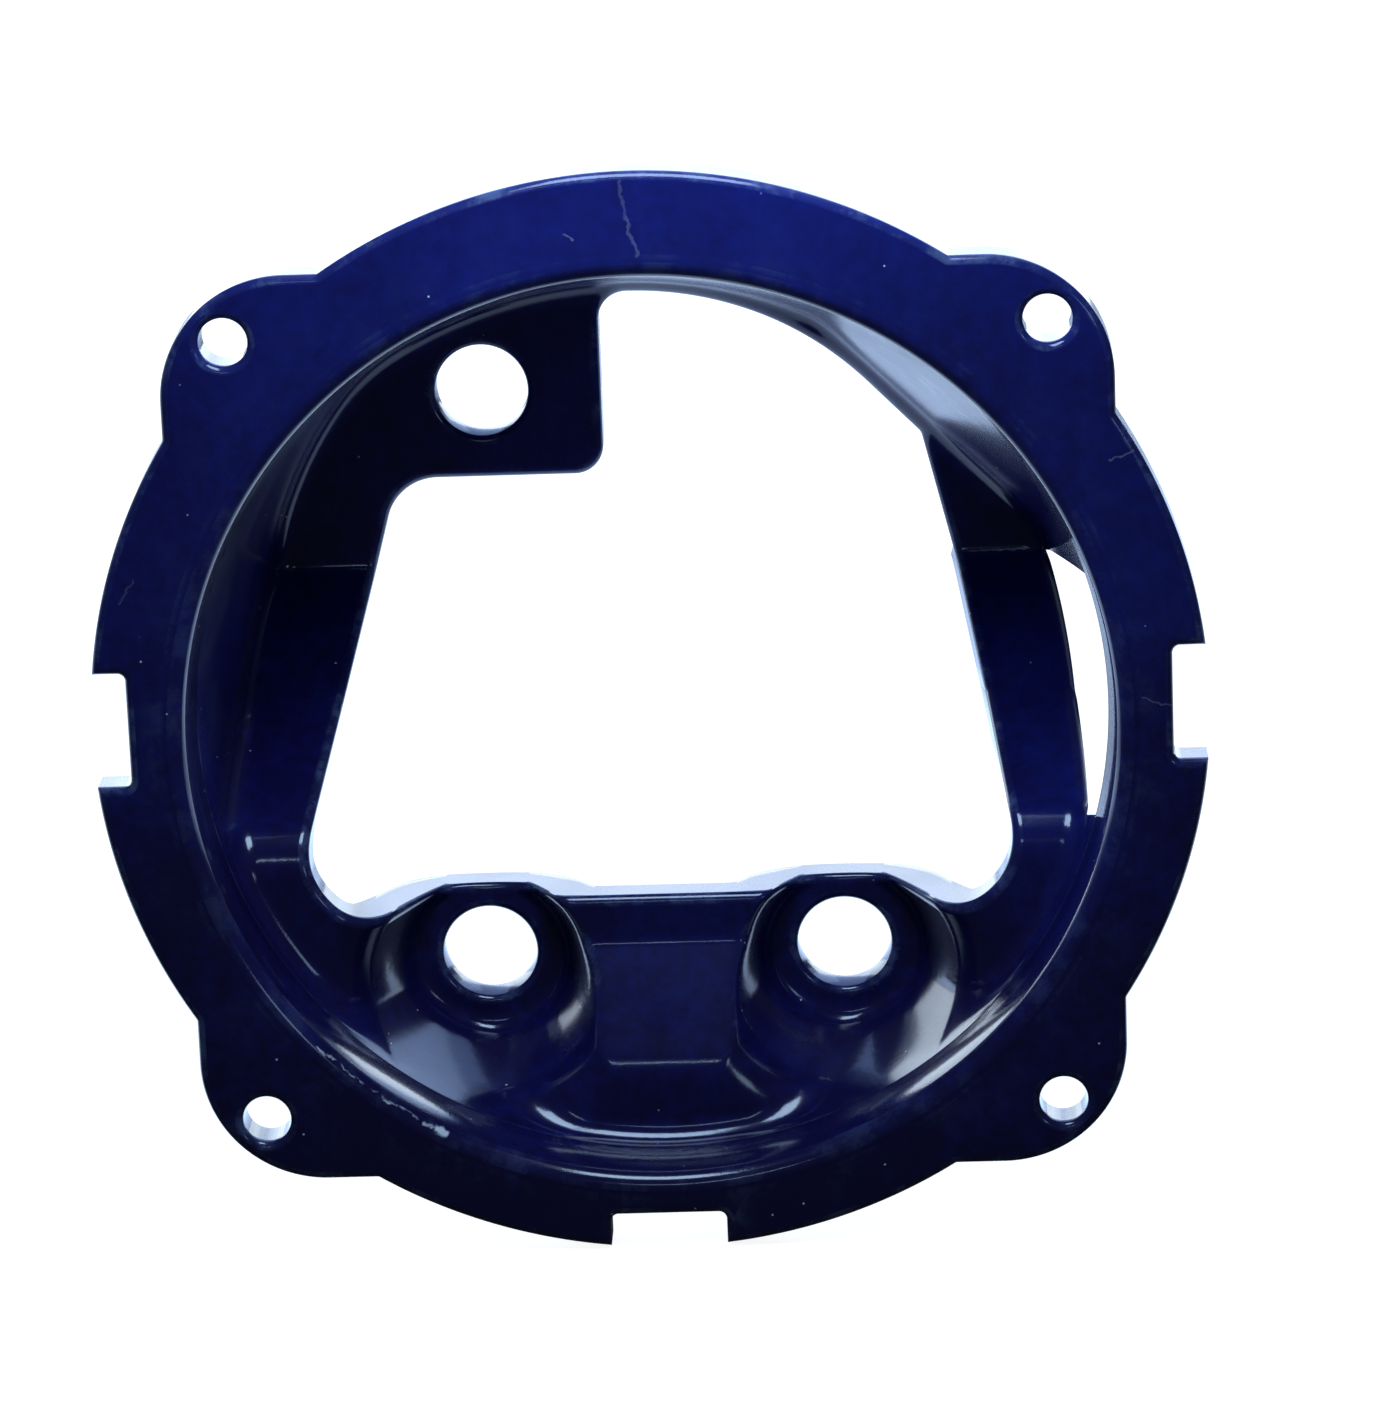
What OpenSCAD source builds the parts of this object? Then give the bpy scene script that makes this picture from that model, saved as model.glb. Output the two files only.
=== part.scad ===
// Dished mounting flange: a flat eared ring with a deep, drafted cup behind it. The cup's floor is stepped:
// two bolt pads at the foot, two sloping arms at the sides and a deep bolt tab at the head, round one big opening.
// Millimetres. The ring's front face is the plane y = 0 and faces -Y, with z up and the cup running back along +Y.
// The origin is the centre of the four ear holes on that face.

/* [Ring] */
// Outer diameter of the ring
ring_d = 160; // [150:1:190]
// Thickness of the ring plate
ring_t = 7; // [5:0.5:9]
// Side of the rounded square whose corners are the four ears
ear_square = 134.6; // [130:0.2:140]
// Corner radius of the ears
ear_corner_r = 18; // [14:0.5:24]
// Spacing of the ear holes, across and up
ear_spacing = 116; // [112:1:118]
// Distance of the middle of the four ears below the ring's axis
ear_drop = 0.7; // [0:0.1:1.5]
// Diameter of the ear holes
ear_hole_d = 7; // [4:0.1:9]
// Width of the three rim notches
notch_w = 17; // [8:0.5:24]
// Width of metal left between the collar's seat and the bottom of the notches
notch_web = 4.4; // [3:0.1:7]
// Radius in the corners of the notches
notch_r = 1.2; // [0.4:0.1:2]
// Distance of the two side notches above the ring's axis
side_notch_rise = 0.8; // [0:0.1:2]

/* [Cup] */
// Diameter of the mouth, where the lip leaves the ring's front face
mouth_d = 138.6; // [130:0.2:140]
// Radius of the lip
lip_r = 2.6; // [2:0.1:5]
// Distance of the cup's axis below the ring's axis
cup_drop = 2; // [0:0.1:2.4]
// Draft of the cup's wall in degrees
wall_draft = 7; // [3:0.5:9]
// Thickness of the cup's wall and floor
sheet_t = 6; // [3:0.1:6]
// Inside radius of the bends
bend_r = 3; // [1:0.5:5]
// Depth of the collar below the ring's front face
collar_h = 10; // [8:0.5:11]

/* [Floor levels] */
// Depth of the ledges beside the pads
ledge_depth = 13; // [12:0.5:18]
// Depth of the band between the pads
band_depth = 24; // [20:0.5:28]
// Depth of the two pads
pad_depth = 32; // [29:0.5:40]
// Depth of the tab and the shoulder at the head
head_depth = 61; // [54:0.5:70]

/* [Arms] */
// Height at which the arms leave the ledges
arm_foot_y = -21; // [-23:0.5:-19]
// Height of the faint bend in the arms
arm_bend_y = -8; // [-10:0.5:-6]
// Depth of the arms at that bend
arm_bend_depth = 40; // [36:0.5:44]
// Height at which the arms reach the head level
arm_head_y = 8; // [6:0.5:10]

/* [Pads] */
// Distance between the two pad holes
pad_spacing = 53; // [48:0.5:56]
// Distance of the pad holes below the ring's axis
pad_drop = 44.3; // [42:0.1:46]
// Diameter of the flat of a pad
pad_d = 23.2; // [20:0.2:26]
// Diameter of a pad's recess at ledge level
recess_d = 37.6; // [34:0.2:42]
// Diameter of the three large holes
bolt_hole_d = 14; // [8:0.5:16]
// Distance of the end of the band's flat below the ring's axis
band_flat_drop = 40.5; // [38:0.5:44]
// Distance of the crest of the slope between the pads below the ring's axis
slope_crest_drop = 57; // [54:0.5:60]

/* [Head] */
// Distance of the tab hole left of the ring's axis
tab_hole_x = 26; // [22:0.5:32]
// Distance of the tab hole above the ring's axis
tab_hole_y = 35; // [33:0.5:38]
// Distance of the tab's upright edge left of the ring's axis
tab_edge_x = 8; // [4:0.5:12]
// Height of the tab's lower edge
tab_edge_y = 21.6; // [18:0.2:24]
// Distance from the middle of the tab hole to the flatter wall at the head, at head level
tab_hole_wall = 11.4; // [10:0.1:14]
// Draft of the flatter wall at the head in degrees
head_wall_draft = 17; // [16:0.5:20]
// Distance of the centre of the head wall left of the ring's axis
head_wall_x = 4; // [3:0.5:6]
// Distance of the centre of the head wall below the ring's axis
head_wall_drop = 16.4; // [16:0.2:17]
// Distance of the flat corner wall from the ring's axis, at head level
corner_wall_r = 49; // [48:0.5:54]
// Slope of the flat corner wall from the axis, in degrees
corner_wall_draft = 18; // [15:0.5:21]

/* [Opening] */
// Width of the floor left between the opening's upper edge and the head wall
shoulder_ledge = 1.3; // [1:0.1:5]
// Distance right of the ring's axis at which the upper edge would meet the shoulder's straight edge
shoulder_turn_x = 17.5; // [14:0.5:20]
// Radius between the upper edge and the shoulder's straight edge
shoulder_r = 50; // [30:1:50]
// Height at which the shoulder edge turns down into the right arm
shoulder_end_y = 26.6; // [24:0.2:30]
// Distance of the opening's lower edge below the ring's axis
foot_drop = 33.6; // [32:0.2:36]
// Half width of the opening at its lower edge
foot_half_w = 54.6; // [50:0.2:55]
// Distance of the left arm's edge from the ring's axis, at the tab's lower edge
left_edge_x = 39.4; // [37:0.2:42]
// Distance of the right arm's edge from the ring's axis, at the shoulder's end
right_edge_x = 40; // [37:0.2:42]
// Radius of the opening's lower corners
foot_corner_r = 11; // [6:0.5:14]
// Radius where the left arm meets the tab
tab_fillet_r = 8; // [4:0.5:10]
// Radius of the tab's own corners
tab_corner_r = 4.4; // [2:0.2:6]

/* [Window] */
// Height of the window's foot
window_foot_y = -18.5; // [-20:0.5:-15]
// Lean of the window's head, up per millimetre towards the ring
window_lean = 0.19; // [0.1:0.01:0.3]
// Lean of the window's foot, down per millimetre away from the ring
window_foot_lean = 0.3; // [0:0.05:0.4]

/* [Hidden] */
$fn = 96;
navy = "#1b2350";
deep_navy = "#12173a";
far = 120;                                    // larger than half of the part in any direction
bend_steps = 6;                               // straight steps in each bend

mouth_r = mouth_d / 2;
collar_rim_r = mouth_r + 1;                   // radius of the seat between collar and ring plate
wall_start_depth = lip_r * (1 - sin(wall_draft));
wall_start_r = mouth_r - lip_r * cos(wall_draft);
pad_x = pad_spacing / 2;
head_wall_r = norm([tab_hole_x - head_wall_x, tab_hole_y + head_wall_drop]) + tab_hole_wall;
shoulder_top_y = head_wall_r - head_wall_drop - shoulder_ledge;
corner_wall_dir = 45.5;                       // direction of the flat corner wall, from +x to the head
notch_floor_r = collar_rim_r + notch_web;

// Radius of the inside of the cup's wall at a depth, grown outwards by g
function wall_r(depth, g = 0) =
    wall_start_r - (depth - wall_start_depth) * tan(wall_draft) + g / cos(wall_draft);

// Floor paths as [distance, height] pairs with the hollow above them, run from left to right
function arm_path() = [
    [-far, -ledge_depth], [arm_foot_y, -ledge_depth], [arm_bend_y, -arm_bend_depth],
    [arm_head_y, -head_depth], [far, -head_depth]];
function band_path() = [
    [-far, -ledge_depth], [-slope_crest_drop, -ledge_depth], [-band_flat_drop, -band_depth],
    [far, -band_depth]];
function pad_path() = [
    [-far, -ledge_depth], [-recess_d / 2, -ledge_depth], [-pad_d / 2, -pad_depth], [0, -pad_depth]];

function unit(v) = v / norm(v);
function right_of(v) = [v[1], -v[0]];
function turn_of(p, c, n) = cross(unit(c - p), unit(n - c));

// The path moved to its right by g, with mitred corners
function shifted(path, g) = [
    for (i = [0 : len(path) - 1])
        let (last = len(path) - 1,
             before = right_of(unit(path[max(i, 1)] - path[max(i, 1) - 1])),
             after = right_of(unit(path[min(i, last - 1) + 1] - path[min(i, last - 1)])))
        path[i] + g * (before + after) / (1 + before * after)];

// Points of an arc of radius r that rounds the corner c between p and n
function arc_at(p, c, n, r) =
    let (u = unit(c - p), v = unit(n - c), turn = acos(max(-1, min(1, u * v))),
         side = cross(u, v) > 0 ? 1 : -1,
         start = c - u * r * tan(turn / 2),
         centre = start - side * right_of(u) * r)
    [for (i = [0 : bend_steps])
        let (a = side * turn * i / bend_steps, q = start - centre)
        centre + [q[0] * cos(a) - q[1] * sin(a), q[0] * sin(a) + q[1] * cos(a)]];

// A floor path grown down by g and rounded: a valley's radius grows with g, a crest's shrinks
function bent(path, g) =
    let (p = shifted(path, g))
    [p[0],
     for (i = [1 : len(p) - 2])
        each arc_at(p[i - 1], p[i], p[i + 1],
            turn_of(p[i - 1], p[i], p[i + 1]) > 0 ? bend_r + g : bend_r + sheet_t - g),
     p[len(p) - 1]];

// A closed outline with its own radius at each corner, where 0 keeps the corner sharp
function rounded(path, radii) = [
    for (i = [0 : len(path) - 1])
        let (p = path[(i + len(path) - 1) % len(path)], n = path[(i + 1) % len(path)])
        each radii[i] > 0 ? arc_at(p, path[i], n, radii[i]) : [path[i]]];

// Everything is drawn face up about the ring's axis, then stood upright with the ears' centre at the origin
module upright() {
    rotate([90, 0, 0]) translate([0, ear_drop, 0]) children();
}

// Draws a profile of [y, z] points along x
module along_x(from, to) {
    translate([from, 0, 0]) rotate([90, 0, 90]) linear_extrude(to - from) children();
}

module rounded_square(side, r) {
    square([side - 2 * r, side], center = true);
    square([side, side - 2 * r], center = true);
    for (x = [-1, 1], y = [-1, 1])
        translate([x, y] * (side / 2 - r)) circle(r);
}

module notch() {
    w = notch_w / 2;
    polygon(rounded([[notch_floor_r, -w], [ring_d, -w], [ring_d, w], [notch_floor_r, w]],
        [notch_r, 0, 0, notch_r]));
}

module ring_outline() {
    difference() {
        union() {
            circle(d = ring_d, $fn = 180);
            translate([0, -ear_drop]) rounded_square(ear_square, ear_corner_r);
        }
        rotate(-90) notch();
        translate([0, side_notch_rise]) {
            notch();
            rotate(180) notch();
        }
    }
}

// Radius of the inside of the flatter head wall at a depth, grown outwards by g
function head_r(depth, g) =
    head_wall_r + (head_depth - depth) * tan(head_wall_draft) + g / cos(head_wall_draft);

// The inside of the cup's wall as a solid cone, grown by g, flatter at the head and flat at its right corner
module wall_hollow(g) {
    intersection() {
        translate([0, -cup_drop, -far])
            cylinder(h = far, r1 = wall_r(far, g), r2 = wall_r(0, g), $fn = 180);
        translate([-head_wall_x, -head_wall_drop, -far])
            cylinder(h = far, r1 = head_r(far, g), r2 = head_r(0, g), $fn = 180);
        rotate(corner_wall_dir)
            rotate([90, 0, 0])
                linear_extrude(2 * far, center = true)
                    polygon([[-far, -far], [corner_wall_x(far, g), -far], [corner_wall_x(0, g), 0], [-far, 0]]);
    }
}

// Distance of the flat corner wall from the ring's axis at a depth
function corner_wall_x(depth, g) =
    corner_wall_r + (head_depth - depth) * tan(corner_wall_draft) + g / cos(corner_wall_draft);

// The hollow above the stepped floor, grown down by g
module floor_hollow(g) {
    along_x(-far, far) polygon(concat(bent(arm_path(), g), [[far, 0], [-far, 0]]));
    along_x(-pad_x, pad_x)
        polygon(concat([for (p = bent(band_path(), g)) if (p[0] < far) p],
            [[-foot_drop + bend_r, -band_depth - g], [-foot_drop + bend_r, 0], [-far, 0]]));
    for (x = [-pad_x, pad_x])
        translate([x, -pad_drop, 0])
            rotate_extrude($fn = 120)
                polygon([for (p = concat(bent(pad_path(), g), [[0, 0], [-far, 0]])) [-p[0], p[1]]]);
}

// The floor between the walls, as thick as the sheet
module floor_shell() {
    intersection() {
        wall_hollow(0);
        difference() {
            floor_hollow(sheet_t);
            floor_hollow(0);
        }
    }
}

// The wall below the collar, down to the back of the floor
module wall_shell() {
    difference() {
        intersection() {
            wall_hollow(sheet_t);
            floor_hollow(sheet_t);
            translate([-far, -far, -far]) cube([2 * far, 2 * far, far - collar_h]);
        }
        wall_hollow(0);
    }
}

// A tall block over a plan rectangle
module block(x0, y0, x1, y1) {
    translate([x0, y0, -far]) cube([x1 - x0, y1 - y0, far]);
}

// Everything above the leaning head of the window
module above_seam() {
    along_x(-far, far)
        polygon([[seam_y(0), 0], [seam_y(far), -far], [far, -far], [far, 0]]);
}

// Height of the window's head at a depth, where the upper walls begin
function seam_y(depth) = arm_head_y + window_lean * (head_depth - depth);

// Height of the window's foot at a depth
function foot_y(depth) = window_foot_y - window_foot_lean * (depth - collar_h);

// Everything below the leaning foot of the window
module below_window() {
    along_x(-far, far)
        polygon([[foot_y(0), 0], [-far, 0], [-far, -far], [foot_y(far), -far]]);
}

// A wedge at the foot, between the two lower ears
module foot_wedge() {
    translate([0, 0, -far]) linear_extrude(far) polygon([[0, 0], [-far, -far], [far, -far]]);
}

// Plan outline of the big opening
module opening_outline() {
    polygon(rounded([
        [-foot_half_w, -foot_drop],
        [foot_half_w, -foot_drop],
        [right_edge_x, shoulder_end_y],
        [shoulder_turn_x, shoulder_top_y],
        [-tab_edge_x, shoulder_top_y],
        [-tab_edge_x, tab_edge_y],
        [-left_edge_x, tab_edge_y]],
        [foot_corner_r, foot_corner_r, 0, shoulder_r, tab_corner_r, tab_corner_r, tab_fillet_r]));
}

module opening() {
    translate([0, 0, -far]) linear_extrude(far) opening_outline();
}

module bolt_hole(x, y) {
    translate([x, y, -far]) cylinder(h = far, d = bolt_hole_d);
}

module flange_ring() {
    color(navy) upright()
        translate([0, 0, -ring_t]) linear_extrude(ring_t)
            difference() {
                ring_outline();
                translate([0, -cup_drop]) circle(collar_rim_r, $fn = 180);
                for (x = [-1, 1], y = [-1, 1])
                    translate([x * ear_spacing / 2, y * ear_spacing / 2 - ear_drop]) circle(d = ear_hole_d);
            }
}

module throat_collar() {
    lip = [for (i = [0 : 8]) let (a = 90 + (90 - wall_draft) * i / 8)
        [mouth_r, -lip_r] + lip_r * [cos(a), sin(a)]];
    color(navy) upright()
        translate([0, -cup_drop, 0])
            rotate_extrude($fn = 180)
                polygon(concat(
                    [[collar_rim_r, 0]], lip,
                    [[wall_r(collar_h), -collar_h], [wall_r(collar_h, sheet_t), -collar_h],
                     [wall_r(ring_t, sheet_t), -ring_t], [collar_rim_r, -ring_t]]));
}

module upper_left_wall() {
    color(deep_navy) upright()
        intersection() {
            wall_shell();
            above_seam();
            block(-far, -far, 0, far);
        }
}

module upper_right_wall() {
    color(navy) upright()
        intersection() {
            wall_shell();
            above_seam();
            block(0, -far, far, far);
        }
}

module left_wall() {
    color(deep_navy) upright()
        difference() {
            intersection() {
                wall_shell();
                block(-far, -far, 0, far);
            }
            above_seam();
            foot_wedge();
        }
}

// The short right wall under the window
module right_wall() {
    color(navy) upright()
        difference() {
            intersection() {
                wall_shell();
                below_window();
                block(0, -far, far, far);
            }
            foot_wedge();
        }
}

module lower_wall() {
    color(navy) upright()
        intersection() {
            wall_shell();
            foot_wedge();
        }
}

module mounting_tab() {
    color(deep_navy) upright()
        difference() {
            intersection() {
                floor_shell();
                block(-far, arm_head_y, 0, far);
            }
            opening();
            bolt_hole(-tab_hole_x, tab_hole_y);
        }
}

module right_shoulder() {
    color(deep_navy) upright()
        difference() {
            intersection() {
                floor_shell();
                block(0, arm_head_y, far, far);
            }
            opening();
        }
}

module arm(side) {
    upright()
        difference() {
            intersection() {
                floor_shell();
                block(side < 0 ? -far : 0, arm_foot_y, side < 0 ? 0 : far, arm_head_y);
            }
            opening();
        }
}

module left_arm() {
    color(deep_navy) arm(-1);
}

module right_arm() {
    color(navy) arm(1);
}

// The round plan of a pad with its flank and the crest round it
module pad_plan(side) {
    crest = (bend_r + sheet_t) * tan(atan2(pad_depth - ledge_depth, (recess_d - pad_d) / 2) / 2);
    translate([side * pad_x, -pad_drop, -far]) cylinder(h = far, r = recess_d / 2 + crest - 1);
}

module foot_floor() {
    difference() {
        intersection() {
            floor_shell();
            block(-far, -far, far, arm_foot_y);
        }
        opening();
    }
}

module ledge(side) {
    upright()
        difference() {
            intersection() {
                foot_floor();
                block(side < 0 ? -far : pad_x, -far, side < 0 ? -pad_x : far, far);
            }
            pad_plan(side);
        }
}

module left_ledge() {
    color(navy) ledge(-1);
}

module right_ledge() {
    color(navy) ledge(1);
}

module pad(side) {
    upright()
        difference() {
            intersection() {
                foot_floor();
                pad_plan(side);
            }
            bolt_hole(side * pad_x, -pad_drop);
        }
}

module left_pad() {
    color(navy) pad(-1);
}

module right_pad() {
    color(navy) pad(1);
}

module centre_web() {
    color(navy) upright()
        difference() {
            intersection() {
                foot_floor();
                block(-pad_x, -far, pad_x, far);
            }
            pad_plan(-1);
            pad_plan(1);
        }
}

flange_ring();
throat_collar();
upper_left_wall();
upper_right_wall();
left_wall();
right_wall();
lower_wall();
mounting_tab();
right_shoulder();
left_arm();
right_arm();
left_ledge();
right_ledge();
left_pad();
right_pad();
centre_web();
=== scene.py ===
"""Dresses the dished mounting flange: a pressed, gloss enamelled ring and cup.

Every object is in metres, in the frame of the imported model: the origin is the centre of the four ear holes
on the ring's front face, -Y leaves that face, +Z is up and the cup runs back along +Y. The shapes are worked
out in millimetres about the ring's axis: x across, y up, and the depth behind the front face.
"""

import logging
import math
from collections.abc import Callable, Iterable
from dataclasses import dataclass
from enum import Enum, StrEnum, auto
from functools import cached_property

import bmesh
import bpy
import numpy as np
from mathutils import Matrix, Vector


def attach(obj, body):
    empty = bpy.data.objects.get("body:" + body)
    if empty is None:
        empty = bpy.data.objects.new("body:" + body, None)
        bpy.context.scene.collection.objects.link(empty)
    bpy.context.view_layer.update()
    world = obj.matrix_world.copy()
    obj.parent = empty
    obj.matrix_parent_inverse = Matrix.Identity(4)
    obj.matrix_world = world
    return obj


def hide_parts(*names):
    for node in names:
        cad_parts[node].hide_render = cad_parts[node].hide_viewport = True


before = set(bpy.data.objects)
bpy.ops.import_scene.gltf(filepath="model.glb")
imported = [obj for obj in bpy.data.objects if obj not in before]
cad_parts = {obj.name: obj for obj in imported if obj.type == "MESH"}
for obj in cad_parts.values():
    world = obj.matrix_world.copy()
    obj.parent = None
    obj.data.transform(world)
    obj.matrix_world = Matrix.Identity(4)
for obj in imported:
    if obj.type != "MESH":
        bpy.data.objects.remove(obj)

Socket = bpy.types.NodeSocket
Piece = bpy.types.Object
Point = tuple[float, float]
Triple = tuple[float, float, float]

LOG = logging.getLogger("mounting_flange")
MM = 0.001
CLOSE = 1e-6  # what lies nearer than this counts as one
TINY = 1e-9  # keeps a division off 0
BODY = "root"
WEAR = "wear"
FINE, COARSE = (960, 120, 70), (480, 64, 36)  # lines round the cup, and points down the front and the back of each
RING_CREASE, CUP_CREASE = 35.0, 40.0  # degrees above which an edge is shaded sharp


class Finish(Enum):
    """The named finishes of the scene."""

    ENAMEL = "gloss_navy_enamel"
    FLOOR = "studio_floor"


class Desk:
    """Lays out the nodes of one material or world."""

    def __init__(self, owner: bpy.types.Material | bpy.types.World) -> None:
        """Empties the owner's nodes.

        Args:
            owner: the material or world.
        """
        owner.use_nodes = True
        self.tree = owner.node_tree
        self.tree.nodes.clear()

    @cached_property
    def at(self) -> Socket:
        """The point that is shaded, in metres."""
        return self.add("TexCoord").outputs["Object"]

    def add(self, kind: str, inputs: dict | None = None, **settings: object) -> bpy.types.Node:
        """Adds a node, sets it up and links what feeds it.

        Args:
            kind: the node's type without "ShaderNode".
            inputs: values or sockets by the name or number of the input.
            settings: the node's own settings.

        Returns:
            The node.
        """
        node = self.tree.nodes.new(f"ShaderNode{kind}")
        for name, value in settings.items():
            setattr(node, name, value)
        for key, value in (inputs or {}).items():
            if isinstance(value, Socket):
                self.tree.links.new(value, node.inputs[key])
            else:
                node.inputs[key].default_value = value
        return node

    def sum_of(self, operation: str, *terms: object, clamp: bool = False) -> Socket:
        """Does one sum on numbers and gives its result."""
        return self.add("Math", dict(enumerate(terms)), operation=operation, use_clamp=clamp).outputs[0]

    def vector(self, operation: str, first: object, second: object, number: bool = False) -> Socket:
        """Does one sum on vectors.

        Args:
            operation: the node's name for the sum.
            first: a vector or a socket.
            second: another, or the number that the first is scaled by.
            number: whether the sum's result is a number.

        Returns:
            The vector, or the number.
        """
        place_two = "Scale" if operation == "SCALE" else 1
        node = self.add("VectorMath", {0: first, place_two: second}, operation=operation)
        return node.outputs["Value" if number else "Vector"]

    def noise(self, at: object, scale: float, detail: float = 2.0, roughness: float = 0.5) -> Socket:
        """Gives a cloud of noise between 0 and 1."""
        inputs = {"Vector": at, "Scale": scale, "Detail": detail, "Roughness": roughness}
        return self.add("TexNoise", inputs).outputs[0]

    def ease(self, value: object, low: float, high: float, start: float = 0.0, end: float = 1.0) -> Socket:
        """Eases a value from one level to another between two limits."""
        inputs = {"Value": value, "From Min": low, "From Max": high, "To Min": start, "To Max": end}
        return self.add("MapRange", inputs, interpolation_type="SMOOTHSTEP").outputs["Result"]

    def blend(self, share: object, first: object, second: object) -> Socket:
        """Blends two colours by a share between 0 and 1."""
        colours = [(*c, 1.0) if isinstance(c, tuple) else c for c in (first, second)]
        return self.add("Mix", {0: share, 6: colours[0], 7: colours[1]}, data_type="RGBA").outputs[2]


@dataclass(frozen=True)
class Cloud:
    """A soft unevenness of the coat, eased from one value to another by noise.

    Attributes:
        scale: its clouds per metre.
        detail: how many finer layers of noise it has.
        roughness: how strong those are.
        low: the noise up to which it has its first value.
        high: the noise from which it has its last value.
        start: the first value.
        end: the last value.
    """

    scale: float
    detail: float
    roughness: float
    low: float
    high: float
    start: float
    end: float

    def lay(self, desk: Desk) -> Socket:
        """Gives its value at each point."""
        noise = desk.noise(desk.at, self.scale, self.detail, self.roughness)
        return desk.ease(noise, self.low, self.high, self.start, self.end)


@dataclass(frozen=True)
class ScuffAndGlint:
    """A fine light stroke on the ring's front and lip, from one point to another. Most are scratches; the three
    strong strokes on the lower left of the lip are a painted highlight.

    Attributes:
        start: x and z of its first end, in millimetres.
        end: x and z of its other end.
        width: its half width in millimetres.
        strength: how far it whitens the coat.
    """

    start: Point
    end: Point
    width: float
    strength: float

    CORE = 0.35  # share of the half width at full strength

    def lay(self, desk: Desk, at: Socket) -> Socket:
        """Gives the mark's strength at each point.

        Args:
            desk: where the nodes go.
            at: the point, in metres.

        Returns:
            The strength, 0 away from the mark.
        """
        first = Vector((self.start[0], 0.0, self.start[1])) * MM
        run = Vector((self.end[0], 0.0, self.end[1])) * MM - first
        out = desk.vector("SUBTRACT", at, tuple(first))
        share = desk.vector("DOT_PRODUCT", out, tuple(run / run.length_squared), number=True)
        along = desk.vector("SCALE", tuple(run), desk.sum_of("ADD", share, 0.0, clamp=True))
        off = desk.vector("DISTANCE", out, along, number=True)
        return desk.ease(off, self.CORE * self.width * MM, self.width * MM, self.strength, 0.0)


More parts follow.
